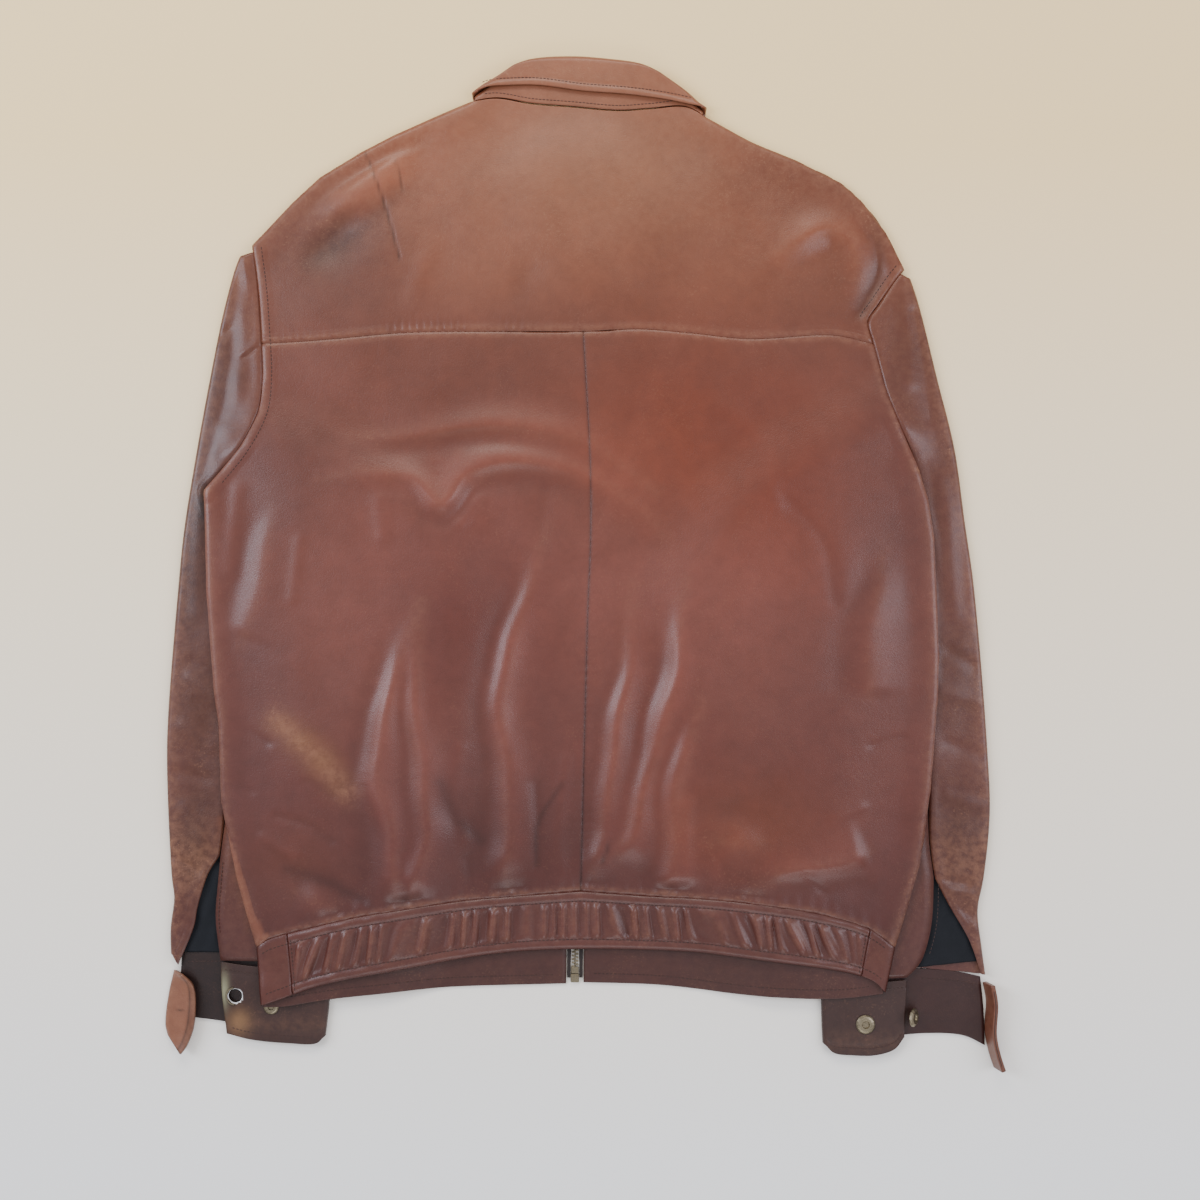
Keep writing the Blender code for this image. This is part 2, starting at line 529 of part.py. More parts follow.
def build_sleeves():
    """Flat tubes beside and under the body: a cap, an outer piece and an under piece each."""
    for side, sign, edge, arm, cap, back_seam, slit_out, slit_in, inner, under in (
            ("left", -1, SLEEVE_EDGE_LEFT, ARM_LEFT, CAP_LEFT, BACK_SEAM_LEFT, SLIT_OUTER_LEFT,
             SLIT_INNER_LEFT, INNER_FOLD_LEFT, UNDER_SEAM_LEFT),
            ("right", 1, SLEEVE_EDGE_RIGHT, ARM_RIGHT, CAP_RIGHT, BACK_SEAM_RIGHT, SLIT_OUTER_RIGHT,
             SLIT_INNER_RIGHT, INNER_FOLD_RIGHT, UNDER_SEAM_RIGHT)):
        out = np.array([sign * SEAM_GAP, 0.0])
        tip = cap[-4] + (cap[-3] - cap[-4]) * 0.6
        seam = np.vstack([cap[:-3], tip]) + out
        edge_y = seam[:, 1] - np.linspace(14, 4, len(seam))
        fold = np.stack([x_at(edge, edge_y), edge_y], axis=1)
        high, low = back_level(*seam.T), front_level(*seam.T)
        grid = trim(sleeve_rows(seam, fold, seam, high, low, 3), bottom=SEAM_GAP)
        add_wall("sleeve_cap_" + side, grid if sign > 0 else grid[:, ::-1], BROWN)

        seam = joined(arm[::-1], smooth(back_seam, 10), smooth(slit_out, 5)) + out
        tilt = 14 * ease(np.linspace(3, 0, len(seam)))
        apex = slit_out[0][1]
        shrink = (apex - under[-1][1]) / (apex - slit_out[-1][1])
        end_y = np.where(seam[:, 1] < apex, apex + (seam[:, 1] - apex) * shrink, seam[:, 1])
        edge_y = end_y - tilt
        fold = np.stack([x_at(edge, edge_y), edge_y], axis=1)
        below = np.stack([x_at(under, end_y) + 2 * out[0], end_y], axis=1)
        below = np.where(seam[:, 1:] >= arm[0][1], seam, below)
        drop = ease((arm[0][1] + 34 - seam[:, 1]) / 30)
        high = back_level(*seam.T) * (1 - drop) + SLEEVE_TOP_LEVEL * drop
        low = front_level(*seam.T) * (1 - drop) + FLOOR_LEVEL * drop
        grid = trim(sleeve_rows(seam, fold, below, high, low, 3), bottom=SEAM_GAP)
        add_wall("sleeve_top_" + side, grid[:, ::-1] if sign > 0 else grid, BROWN)

        share = np.linspace(0.07, 1, 12)
        seam = along(joined(smooth(back_seam, 60), smooth(slit_in, 20)), share) - out * 3
        fold = along(smooth(inner, 80), share)
        below = along(smooth(under, 80), share) - out * 3
        flat = np.ones(len(seam))
        grid = sleeve_rows(seam, fold, below, SLEEVE_TOP_LEVEL * flat, FLOOR_LEVEL * flat, 3)
        add_wall("sleeve_under_" + side, grid if sign > 0 else grid[:, ::-1], BROWN)

        down = np.linspace(0, 1, 7)
        outer = along(smooth(slit_out, 40), down * 0.82) + out * 5 + (0, 6)
        inner_line = along(smooth(slit_in, 40), down * 0.88) - out * 20 + (0, 6)
        across = np.linspace(0, 1, 4)[None, :, None]
        plan = outer[:, None] + (inner_line - outer)[:, None] * across
        level = np.full(plan.shape[:2], 2 * FLOOR_LEVEL + SEAM_GAP + 0.4)
        grid = np.dstack([plan, level])
        add_wall("sleeve_lining_" + side, grid[:, ::-1] if sign < 0 else grid, NAVY, 0.8)


def build_cuffs():
    """Each open cuff band: a layer on the surface, folded back over itself up to the slit."""
    across = np.append(np.linspace(0, 0.94, 7), 0.985)
    up = np.linspace(0, 1, 5)
    middle = (SLEEVE_TOP_LEVEL + FLOOR_LEVEL) / 2
    for side, cuff in (("left", CUFF_LEFT), ("right", CUFF_RIGHT)):
        layers = []
        for layer, end, level in (("upper", "slit", SLEEVE_TOP_LEVEL), ("lower", "end", FLOOR_LEVEL)):
            steps = np.append(across, 1.0)
            grid = patch(smooth(cuff[layer + "_hem"], steps), smooth(cuff[layer + "_seam"], steps),
                         smooth(cuff[end], up), smooth(cuff["fold"], up), steps, up)
            width = np.linalg.norm(grid[:, -1] - grid[:, 0], axis=-1)[:, None]
            near = (1 - steps)[None, :] * width
            share = np.where(near < 0.01, 0, roll_share(near, SLEEVE_ROLL))
            layers.append(np.dstack([grid, middle + (level - middle) * share]))
        strip = np.concatenate([layers[0], layers[1][:, -2::-1]], axis=1)
        strip = trim(strip, top=2 * HALF_GAP)
        piece = add_wall("cuff_" + side, strip if side == "left" else strip[:, ::-1], DARK_BROWN)
        if side == "left":
            cut_hole(piece)


def cut_hole(cuff):
    """The hole that a torn-out snap left in the upper layer."""
    height = SLEEVE_TOP_LEVEL * MM
    bpy.ops.mesh.primitive_cylinder_add(vertices=20, radius=TORN_HOLE_RADIUS * MM, depth=4 * MM,
                                        location=((TORN_HOLE[0] + FRAME_SHIFT[0]) * MM,
                                                  (TORN_HOLE[1] + FRAME_SHIFT[1]) * MM, height))
    cutter = bpy.context.object
    cutter.name = "torn_hole_cutter"
    cutter.hide_render = True
    cutter.display_type = "WIRE"
    for collection in list(cutter.users_collection):
        collection.objects.unlink(cutter)
    cutters.objects.link(cutter)
    hole = cuff.modifiers.new("Torn hole", "BOOLEAN")
    hole.object = cutter
    hole.operation = "DIFFERENCE"


def build_tabs():
    """The loose cuff ends: the left one lies tilted, the right one stands on its edge."""
    up = np.linspace(0, 1, 8)
    across = np.linspace(0, 1, 4)
    outer, inner = smooth(TAB_LEFT_OUTER, up), smooth(TAB_LEFT_INNER, up)
    plan = outer[:, None] + (inner - outer)[:, None] * across[None, :, None]
    level = 1.4 + 9.0 * across[None, :] ** 0.8 + 0 * plan[..., 0]
    add_wall("cuff_tab_left", np.dstack([plan, level]), BROWN, 2.4)
    line = smooth(TAB_RIGHT_LINE, 9)
    height = np.linspace(0.7, TAB_RIGHT_HEIGHT, 4)
    lean = (height / TAB_RIGHT_HEIGHT - 0.5) * 3.6
    grid = np.array([[[x + bend, y, z] for bend, z in zip(lean, height)] for x, y in line])
    add_wall("cuff_tab_right", grid[::-1], BROWN, 3.4)


def half_roll(distance, reach):
    return np.sqrt(1 - (1 - np.clip(distance / reach, 0, 1)) ** 2)


def collar_part(lower, upper, start, finish, ends, rows):
    """Plan of one side of the collar, with the distance of each point to its creases."""
    length = np.linalg.norm(np.diff(lower, axis=0), axis=1).sum()
    near = np.array([2.4, 5.6]) / length
    share = list(along_share(lower))
    share += list(near) if ends[0] else []
    share += list(1 - near) if ends[1] else []
    share = np.array(sorted(share))
    plan = patch(along(lower, share), along(smooth(upper, 60), share), start, finish, share, rows)
    crease = np.full(plan.shape[:2], 1e3)
    for edge in [0] * ends[0] + [-1] * ends[1]:
        crease = np.minimum(crease, np.linalg.norm(plan - plan[:, edge][:, None], axis=-1))
    return plan, crease


def build_collar():
    """A stand round the neck, closed flat, and a fall turned down over its outside."""
    rows = np.linspace(0, 1, 4)
    left, right = smooth(STAND["crease_left"], rows), smooth(STAND["crease_right"], rows)
    neck = NECK.copy()
    neck[0], neck[-1] = STAND["crease_left"][0], STAND["crease_right"][0]
    plan, crease = collar_part(neck, STAND["top_back"], left, right, (True, True), rows)
    parts = [stand_side(plan, crease, 1)]
    for front, top, edge in ((NECK_FRONT_LEFT[::-1], "top_left", left),
                             (NECK_FRONT_RIGHT, "top_right", right)):
        lower = smooth(front, 6)
        lower[0] = edge[0]
        zip_end = lower[-1] + (np.array(STAND[top][-1]) - lower[-1]) * rows[:, None]
        plan, crease = collar_part(lower, STAND[top], edge, zip_end, (True, False), rows)
        parts.append(stand_side(plan, crease, -1))
    back, front_left, front_right = parts
    strip = np.concatenate([front_left[:, :0:-1], back, front_right[:, 1:]], axis=1)
    add_wall("collar_stand", trim(strip, bottom=4 * SEAM_GAP), BROWN)

    rows = np.array([0, 0.35, 0.65, 0.88, 0.96, 1.0])
    left, right = smooth(FALL["crease_left"], rows), smooth(FALL["crease_right"], rows)
    back_edge = smooth(FALL["edge_back"], 13)
    plan, crease = collar_part(back_edge, FALL["top_back"], left, right, (True, True), rows)
    parts = [fall_side(plan, crease, 1)]
    for side, edge in (("left", left), ("right", right)):
        lower = smooth(FALL["edge_" + side], 7)
        zip_end = lower[-1] + (np.array(FALL["top_" + side][-1]) - lower[-1]) * rows[:, None]
        plan, crease = collar_part(lower, FALL["top_" + side], edge, zip_end, (True, False), rows)
        parts.append(fall_side(plan, crease, -1))
    back, front_left, front_right = parts
    strip = np.concatenate([front_left[:, :0:-1], back, front_right[:, 1:]], axis=1)
    add_wall("collar_fall", strip, BROWN)


def stand_side(plan, crease, way):
    x, y = plan[..., 0], plan[..., 1]
    level = body_middle(x, y) + way * body_spread(x, y) / 2 * half_roll(crease, EDGE_ROLL)
    return np.dstack([plan, level])


def fall_side(plan, crease, way):
    """The fall lies on the stand behind and under the fronts before, round at its top edge."""
    x, y = plan[..., 0], plan[..., 1]
    top = np.linalg.norm(plan - plan[-1:], axis=-1)
    fold = 1 - half_roll(top, 3.4)
    high = body_middle(x, y) + body_spread(x, y) / 2 + FALL_RISE
    level = high - 3.2 * fold if way > 0 else FLOOR_LEVEL + 0 * fold
    middle = (high + FLOOR_LEVEL) / 2
    return np.dstack([plan, middle + (level - middle) * half_roll(crease, 5.0)])


def add_block(name, low, high, colour):
    """A small cast metal piece with eased edges, between two corners in millimetres."""
    low, high = np.array(low), np.array(high)
    bpy.ops.mesh.primitive_cube_add(size=1, location=tuple(((low + high) / 2 + (*FRAME_SHIFT, 0)) * MM))
    piece = bpy.context.object
    piece.name = piece.data.name = name
    piece.data.transform(scale_matrix((high - low) * MM))
    ease_edges = piece.modifiers.new("Eased edges", "BEVEL")
    ease_edges.width = 0.4 * MM
    ease_edges.segments = 1
    piece.data.materials.append(plain_material(name, colour, 0.4, 1.0))
    to_jacket(piece)
    return piece


def scale_matrix(size):
    return Matrix.Diagonal((*size, 1.0))


def to_jacket(piece):
    for collection in list(piece.users_collection):
        collection.objects.unlink(piece)
    jacket.objects.link(piece)


def add_prism(name, outline, centre_x, width, base):
    """A side profile in y and z, made solid across x."""
    mesh = bpy.data.meshes.new(name)
    shape = bmesh.new()
    points = [shape.verts.new(((centre_x - width / 2 + FRAME_SHIFT[0]) * MM,
                               (base[0] + y + FRAME_SHIFT[1]) * MM, (base[1] + z) * MM))
              for y, z in outline]
    face = shape.faces.new(points)
    pulled = bmesh.ops.extrude_face_region(shape, geom=[face])
    moved = [item for item in pulled["geom"] if isinstance(item, bmesh.types.BMVert)]
    bmesh.ops.translate(shape, vec=(width * MM, 0, 0), verts=moved)
    bmesh.ops.recalc_face_normals(shape, faces=shape.faces)
    shape.to_mesh(mesh)
    shape.free()
    mesh.materials.append(plain_material(name, BRASS, 0.4, 1.0))
    piece = bpy.data.objects.new(name, mesh)
    jacket.objects.link(piece)
    return piece


def zip_centre(y):
    return (x_at(ZIP_EDGE_LEFT, y) + x_at(ZIP_EDGE_RIGHT, y)) / 2


def build_zip():
    """A closed metal zip between the fronts, from the hem up to the throat."""
    box_low, box_high, pin_high = -344.0, -337.3, -331.3
    y = np.linspace(pin_high + SEAM_GAP, ZIP_TOP, 26)
    x = zip_centre(y)
    level = front_level(x, y)
    chain = np.array([[[cx + side * ZIP_WIDTH / 2, cy, z] for side in (-1, 1)]
                      for cx, cy, z in zip(x, y, level)])
    add_wall("zip_teeth", chain, BRASS, ZIP_THICKNESS)
    y = np.linspace(box_high - 3, ZIP_TOP - 0.5, 26)
    x = zip_centre(y)
    for side, sign, edge in (("left", -1, ZIP_EDGE_LEFT), ("right", 1, ZIP_EDGE_RIGHT)):
        inner = x + sign * (ZIP_WIDTH / 2 + SEAM_GAP)
        outer = x_at(edge, y) - sign * 2 * SEAM_GAP
        level = front_level(x, y)
        inner = np.where(y < pin_high + 2, x + sign * (BOX_WIDTH / 2 + SEAM_GAP), inner)
        tape = np.dstack([np.stack([inner, outer], axis=1), np.stack([y, y], axis=1),
                          np.stack([level, level], axis=1)])
        add_wall("zip_tape_" + side, tape[:, ::-1] if sign < 0 else tape, NAVY, TAPE_THICKNESS)
    hem_x = float(zip_centre(box_low))
    half = BOX_WIDTH / 2
    add_block("zip_box", (hem_x - half, box_low, 0), (hem_x + half, box_high, 3.0), BRASS)
    pin_half = half - 0.4
    add_block("zip_pin", (hem_x - pin_half, box_high + SEAM_GAP, 0), (hem_x + pin_half, pin_high, 2.5), BRASS)

    slider_x = float(zip_centre(ZIP_TOP))
    base = (ZIP_TOP - 8.0, float(front_level(np.array(slider_x), np.array(ZIP_TOP))))
    plates = [(0, -2.7), (13, -2.7), (13, 2.7), (0, 2.7), (0, 1.5), (9, 1.5), (9, -1.5), (0, -1.5)]
    slider = add_prism("zip_slider", plates, slider_x, 10.0, base)
    arch = [(3, -2.5), (3, -5.9), (10, -5.9), (10, -2.5), (8.8, -2.5), (8.8, -5.0), (4.2, -5.0), (4.2, -2.5)]
    bridge = add_prism("zip_bridge_cutter", arch, slider_x, 2.0, base)
    bridge.hide_render = True
    bridge.display_type = "WIRE"
    jacket.objects.unlink(bridge)
    cutters.objects.link(bridge)
    join = slider.modifiers.new("Bridge", "BOOLEAN")
    join.operation = "UNION"
    join.object = bridge

    hinge = (base[0] + 6.5, base[1] - 3.8)
    bar, length, width = 0.55, 32.0, 8.0
    side_view = [(bar, -bar), (bar, bar), (-length, bar), (-length, -bar)]
    pull = add_prism("zip_pull", side_view, slider_x, width, hinge)
    window_view = [(-bar, -2), (-bar, 2), (-7.5, 2), (-7.5, -2)]
    window = add_prism("zip_pull_window", window_view, slider_x, 3.0, hinge)
    window.hide_render = True
    window.display_type = "WIRE"
    jacket.objects.unlink(window)
    cutters.objects.link(window)
    opening = pull.modifiers.new("Window", "BOOLEAN")
    opening.operation = "DIFFERENCE"
    opening.object = window
    axis = Vector((slider_x + FRAME_SHIFT[0], hinge[0] + FRAME_SHIFT[1], hinge[1])) * MM
    pull.data.transform(Matrix.Translation(-axis))
    pull.location = axis


def add_turned(name, profile, place, tilt=0.0):
    """A round pressed metal piece, its profile turned about its own upright axis."""
    mesh = bpy.data.meshes.new(name)
    points = [(radius * MM, 0.0, height * MM) for radius, height in profile]
    mesh.from_pydata(points, [(i, i + 1) for i in range(len(points) - 1)], [])
    mesh.materials.append(plain_material(name, BRASS, 0.35, 1.0))
    piece = bpy.data.objects.new(name, mesh)
    piece.location = ((place[0] + FRAME_SHIFT[0]) * MM, (place[1] + FRAME_SHIFT[1]) * MM, place[2] * MM)
    piece.rotation_euler = (0.0, math.radians(tilt), 0.0)
    jacket.objects.link(piece)
    turn = piece.modifiers.new("Turned", "SCREW")
    turn.steps = turn.render_steps = 16
    turn.use_merge_vertices = True
    turn.merge_threshold = 0.00001
    turn.use_normal_calculate = False


def snap_profile(radius, height):
    """Dished ring with a low socket floor, from its centre out and down."""
    shares = [(0, 0.4), (0.32, 0.4), (0.4, 0.92), (0.68, 1.0), (0.88, 0.75), (1.0, 0.3), (1.0, 0.0),
              (0, 0.0)]
    return [(radius * r, height * z) for r, z in shares]


def build_snaps():
    """The cuff snaps: one whole, one half under the waistband, one torn out, one seen on edge."""
    on_cuff = SLEEVE_HEIGHT + SEAM_GAP
    add_turned("snap_right", snap_profile(SNAP_RADIUS, 2.2), (*FULL_SNAP, on_cuff))
    add_turned("snap_left", snap_profile(6.2, 1.7), (*COVERED_SNAP, on_cuff))
    add_turned("snap_edge_right", snap_profile(7.6, 2.4), EDGE_SNAP, EDGE_SNAP_TILT)
    arc = bpy.data.curves.new("snap_torn_left", "CURVE")
    arc.dimensions = "3D"
    arc.bevel_depth = 0.8 * MM
    arc.bevel_resolution = 1
    arc.use_fill_caps = True
    line = arc.splines.new("POLY")
    angles = [math.radians(100 + 15 * step) for step in range(12)]
    line.points.add(len(angles) - 1)
    for point, angle in zip(line.points, angles):
        reach = TORN_HOLE_RADIUS + 1.1
        point.co = ((TORN_HOLE[0] + FRAME_SHIFT[0] + reach * math.cos(angle)) * MM,
                    (TORN_HOLE[1] + FRAME_SHIFT[1] + reach * math.sin(angle)) * MM,
                    (SLEEVE_HEIGHT + SEAM_GAP + 0.8) * MM, 1.0)
    arc.materials.append(plain_material("snap_torn_left", BRASS, 0.35, 1.0))
    jacket.objects.link(bpy.data.objects.new("snap_torn_left", arc))


build_back()
build_fronts()
build_waistband()
build_sleeves()
build_cuffs()
build_tabs()
build_collar()
build_zip()
build_snaps()
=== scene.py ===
import math

import bpy
import numpy as np
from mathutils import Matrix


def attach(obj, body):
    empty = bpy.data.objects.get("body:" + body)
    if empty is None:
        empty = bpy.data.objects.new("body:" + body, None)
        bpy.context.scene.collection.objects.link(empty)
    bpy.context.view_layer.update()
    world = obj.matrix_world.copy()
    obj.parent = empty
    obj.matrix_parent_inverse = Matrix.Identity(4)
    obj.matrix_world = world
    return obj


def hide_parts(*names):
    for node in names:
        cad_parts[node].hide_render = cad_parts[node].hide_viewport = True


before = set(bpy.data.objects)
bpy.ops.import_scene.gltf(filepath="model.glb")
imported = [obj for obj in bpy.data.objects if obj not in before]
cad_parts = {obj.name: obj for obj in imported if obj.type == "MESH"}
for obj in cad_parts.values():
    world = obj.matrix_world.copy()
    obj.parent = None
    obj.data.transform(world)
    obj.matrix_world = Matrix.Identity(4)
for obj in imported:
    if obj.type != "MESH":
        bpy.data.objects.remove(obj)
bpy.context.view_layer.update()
bpy.ops.object.select_all(action="DESELECT")


# The back: two halves of soft brown cowhide, sewn together down the middle with a plain seam that
# has puckered, and joined to the fronts by side seams. It lies on the fronts and the sleeves.
# Plan sizes are in millimetres: x to the right and y towards the collar.
MM = 0.001
WALL = 2.0
SEAM_GAP = 0.3
HALF_GAP = SEAM_GAP / 2
FRAME_SHIFT = (-0.46, -1.19)
FLOOR_LEVEL = WALL / 2
SLEEVE_SPREAD = 5.0
SLEEVE_TOP_LEVEL = FLOOR_LEVEL + SLEEVE_SPREAD
SLEEVE_HEIGHT = 7.0
SLEEVE_LIFT = SLEEVE_HEIGHT + SEAM_GAP
BODY_SPREAD = 4.0
EDGE_SPREAD = 5.5
EDGE_ROLL = 3.6
LIFT_REACH = 100.0
LIFT_CLEAR = 36.0
BAND_HEIGHT = 47.0
SIDE_LEFT = [(-267, -313), (-275, -286), (-283, -257), (-291, -218), (-296, -193), (-298, -131),
             (-302, -102), (-308, -22), (-309, 28), (-310, 61)]
SIDE_RIGHT = [(255, -313), (265, -280), (275, -246), (284, -184), (290, -108), (291, -75),
              (289, -27), (287, 22), (282, 54), (274, 79)]
ARMHOLE_LEFT = [(-310, 61), (-299, 74), (-279, 99), (-266, 126), (-263, 157), (-264, 182)]
ARMHOLE_RIGHT = [(274, 79), (261, 110), (249, 140), (243, 163), (238, 182)]
CAP_SEAM_LEFT = [(-264, 182), (-267, 221), (-272, 263)]
CAP_SEAM_RIGHT = [(238, 182), (234, 200), (243, 214), (256, 233), (264, 243)]
SHOULDER_LEFT = [(-272, 263), (-239, 298), (-216, 319), (-183, 339), (-156, 353), (-124, 367),
                 (-92, 380)]
SHOULDER_RIGHT = [(101, 367), (137, 348), (176, 332), (212, 314), (229, 299), (249, 273),
                  (264, 243)]
YOKE_SEAM_LEFT = [(-264, 182), (-216, 185), (-147, 191), (-101, 192), (0, 192)]
YOKE_SEAM_RIGHT = [(0, 192), (47, 194), (87, 191), (137, 186), (206, 189), (238, 182)]
CENTRE_SEAM = [(-2, -268), (1, -145), (4, -32), (6, 18), (6, 77), (0, 192)]
BAND_SEAM_LEFT = [(-267, -313), (-259, -307), (-231, -299), (-185, -288), (-101, -276), (-2, -268)]
BAND_SEAM_RIGHT = [(-2, -268), (53, -272), (129, -276), (191, -285), (234, -298), (255, -313)]
INNER_FOLD_LEFT = [(-306, 58), (-240, 47), (-175, 16), (-150, -29), (-154, -111), (-179, -234),
                   (-209, -327)]
INNER_FOLD_RIGHT = [(271, 76), (219, 52), (161, 16), (137, -29), (141, -111), (165, -234),
                    (196, -343)]
SLEEVE_SHADOW_LEFT = [(-345, 61)] + INNER_FOLD_LEFT + [(-209, -395), (-345, -395)]
SLEEVE_SHADOW_RIGHT = [(335, 79)] + INNER_FOLD_RIGHT + [(196, -405), (335, -405)]
BODY_EDGES = [SIDE_LEFT, SIDE_RIGHT, SHOULDER_LEFT, SHOULDER_RIGHT, [(-267, -313), (-263, -361)],
              [(255, -313), (247, -351)]]
THROAT = (2.0, 292.0)
NECK_CENTRE = (3.0, 340.0)
COVERED_SNAP = (-256.4, -363.0)
# The largest folds: height, half width, and the line of each ridge or trough
BACK_FOLDS = [
    (3.2, 13, [(-217, 70), (-185, 77), (-139, 73), (-117, 49), (-91, 74), (-50, 85), (3, 78), (50, 45),
               (72, 21)]),
    (2.4, 12, [(-192, 106), (-133, 109), (-59, 114), (3, 104), (60, 60)]),
    (3.4, 13, [(-133, -30), (-157, -98), (-171, -165), (-156, -209), (-153, -273)]),
    (2.6, 11, [(-133, -30), (-138, -131), (-126, -226), (-141, -276)]),
    (3.2, 13, [(-29, 32), (-53, -40), (-67, -127), (-62, -203), (-62, -267)]),
    (2.6, 11, [(40, -16), (33, -112), (14, -221), (8, -254)]),
    (3.2, 13, [(83, -12), (66, -129), (38, -221), (24, -242)]),
    (3.0, 12, [(98, -110), (77, -179), (70, -269)]),
    (2.6, 16, [(247, 22), (242, -27), (238, -59), (235, -108)]),
    (2.4, 14, [(-255, 53), (-262, -14), (-280, -64)]),
    (-1.8, 11, [(-117, -179), (-101, -212), (-84, -226)]),
    (-1.8, 10, [(-241, -249), (-213, -258), (-176, -276)]),
    (2.4, 14, [(-236, -268), (-205, -280)]),
    (-1.6, 10, [(100, -203), (145, -203)]),
    (2.2, 14, [(105, -226), (150, -228)]),
    (2.4, 13, [(138, -268), (160, -252), (215, -240), (236, -233)]),
    (-1.8, 14, [(-170, 307), (-205, 275), (-239, 243)]),
    (2.4, 16, [(-135, 351), (-175, 320), (-216, 285)]),
    (2.6, 14, [(145, 250), (206, 280), (222, 268), (228, 225)]),
]
# Smaller creases, pressed in by wear and packing
BACK_CREASES = [
    (1.2, 5, [(-85, 55), (-101, 34)]),
    (0.9, 6, [(-167, 53), (-164, 23)]),
    (-0.8, 3.5, [(-288, -128), (-258, -146)]),
    (-0.7, 3, [(-288, -176), (-272, -186)]),
    (-1.3, 6, [(-38, -179), (-36, -215), (-38, -246)]),
    (-0.9, 3, [(21, -229), (16, -243.5)]),
    (1.1, 6, [(-14, -160), (-19, -195), (-21, -229), (-17, -262)]),
    (1.0, 6, [(87, -195), (83.5, -229), (86, -255)]),
    (0.9, 6, [(-283, 61.5), (-290, -6)]),
    (-0.7, 1.6, [(-179, 339), (-167, 307.5), (-159, 282), (-151, 252)]),
    (-0.55, 1.5, [(-154, 333), (-148, 307.5)]),
    (-1.6, 8, [(240, 282), (245, 251), (229, 210)]),
    (-0.7, 3, [(-250, -205), (-222, -214), (-205, -226)]),
    (0.8, 4, [(-262, -222), (-236, -238)]),
    (-0.6, 2.6, [(-226, -176), (-204, -190)]),
    (0.7, 5, [(-100, -150), (-104, -190), (-96, -226)]),
    (-0.8, 4, [(-148, -236), (-146, -262)]),
    (-0.8, 4, [(-96, -240), (-90, -266)]),
    (0.8, 4, [(108, -244), (112, -266)]),
    (-0.7, 3.4, [(182, -252), (196, -266)]),
    (0.7, 4, [(206, -206), (228, -198)]),
    (-0.6, 3, [(236, -148), (262, -140)]),
    (0.6, 4, [(-232, 20), (-238, -28)]),
    (-0.6, 5, [(160, 60), (196, 20), (206, -30)]),
    (0.7, 8, [(120, 130), (150, 96), (158, 50)]),
    (-0.6, 7, [(-30, 60), (-36, 30), (-30, 0)]),
]
SIDE_SEAM_LEFT = [(-294.5, -207.5), (-283, -238), (-273, -269), (-269, -285), (-258.5, -303)]


def smooth(points, count):
    """Points evenly spaced by length on a smooth curve through the given points."""
    points = np.array(points, dtype=float)
    if len(points) == 2:
        fine = np.linspace(points[0], points[1], 50)
    else:
        chord = np.linalg.norm(np.diff(points, axis=0), axis=1) ** 0.5
        knots = np.concatenate([[0], np.cumsum(chord)])
        slopes = np.gradient(points, knots, axis=0)
        position = np.linspace(0, knots[-1], 60 * len(points))
        span = np.clip(np.searchsorted(knots, position, side="right") - 1, 0, len(points) - 2)
        width = (knots[span + 1] - knots[span])[:, None]
        s = (position - knots[span])[:, None] / width
        fine = ((2 * s**3 - 3 * s**2 + 1) * points[span] + (s**3 - 2 * s**2 + s) * width * slopes[span]
                + (3 * s**2 - 2 * s**3) * points[span + 1] + (s**3 - s**2) * width * slopes[span + 1])
    wanted = np.asarray(count) if np.ndim(count) else np.linspace(0, 1, count)
    return along(fine, wanted)


def run_length(points):
    return np.concatenate([[0], np.cumsum(np.linalg.norm(np.diff(points, axis=0), axis=1))])


def along(points, share):
    """Places at the given shares of the length of a run of points."""
    length = run_length(points)
    return np.stack([np.interp(np.asarray(share) * length[-1], length, points[:, axis])
                     for axis in range(points.shape[1])], axis=1)


def joined(*runs):
    return np.vstack([runs[0]] + [run[1:] for run in runs[1:]])


def line_distance(x, y, points):
    nearest = np.full(np.shape(x), 1e9)
    for start, end in zip(points[:-1], points[1:]):
        run = np.subtract(end, start)
        share = ((x - start[0]) * run[0] + (y - start[1]) * run[1]) / max(run @ run, 1e-9)
        share = np.clip(share, 0, 1)
        gap = np.hypot(x - start[0] - share * run[0], y - start[1] - share * run[1])
        nearest = np.minimum(nearest, gap)
    return nearest


def inside_distance(x, y, outline):
    inside = np.zeros(np.shape(x), dtype=bool)
    closed = list(outline) + [outline[0]]
    for (ax, ay), (bx, by) in zip(closed[:-1], closed[1:]):
        if ay != by:
            inside ^= ((ay > y) != (by > y)) & (x < ax + (y - ay) / (by - ay) * (bx - ax))
    return np.where(inside, 1, -1) * line_distance(x, y, closed)


def ease(value):
    value = np.clip(value, 0, 1)
    return value * value * (3 - 2 * value)


def bell(gap, width):
    return np.exp(-(gap / width) ** 2)


def soft_line(x, y, height, width, points):
    """A soft ridge, or a trough where the height is negative, along a line."""
    curve = smooth(points, 6 * len(points)) if len(points) > 2 else points
    return height * bell(line_distance(x, y, curve), width)


def body_lift(x, y):
    lift = np.zeros(np.shape(x))
    for shadow in (SLEEVE_SHADOW_LEFT, SLEEVE_SHADOW_RIGHT):
        depth = inside_distance(x, y, shadow)
        lift = np.maximum(lift, SLEEVE_LIFT * ease((depth + LIFT_REACH) / (LIFT_REACH - LIFT_CLEAR)))
    neck = np.hypot(x - NECK_CENTRE[0], y - NECK_CENTRE[1])
    throat = np.hypot(x - THROAT[0], y - THROAT[1])
    stud = np.hypot(x - COVERED_SNAP[0], y - COVERED_SNAP[1])
    lift = lift + 2.2 * ease((34 - stud) / 20)
    return np.maximum(lift, 2.6 * ease((150 - neck) / 50) + 3.6 * ease((90 - throat) / 60))


def edge_distance(x, y):
    return np.min([line_distance(x, y, edge) for edge in BODY_EDGES], axis=0)


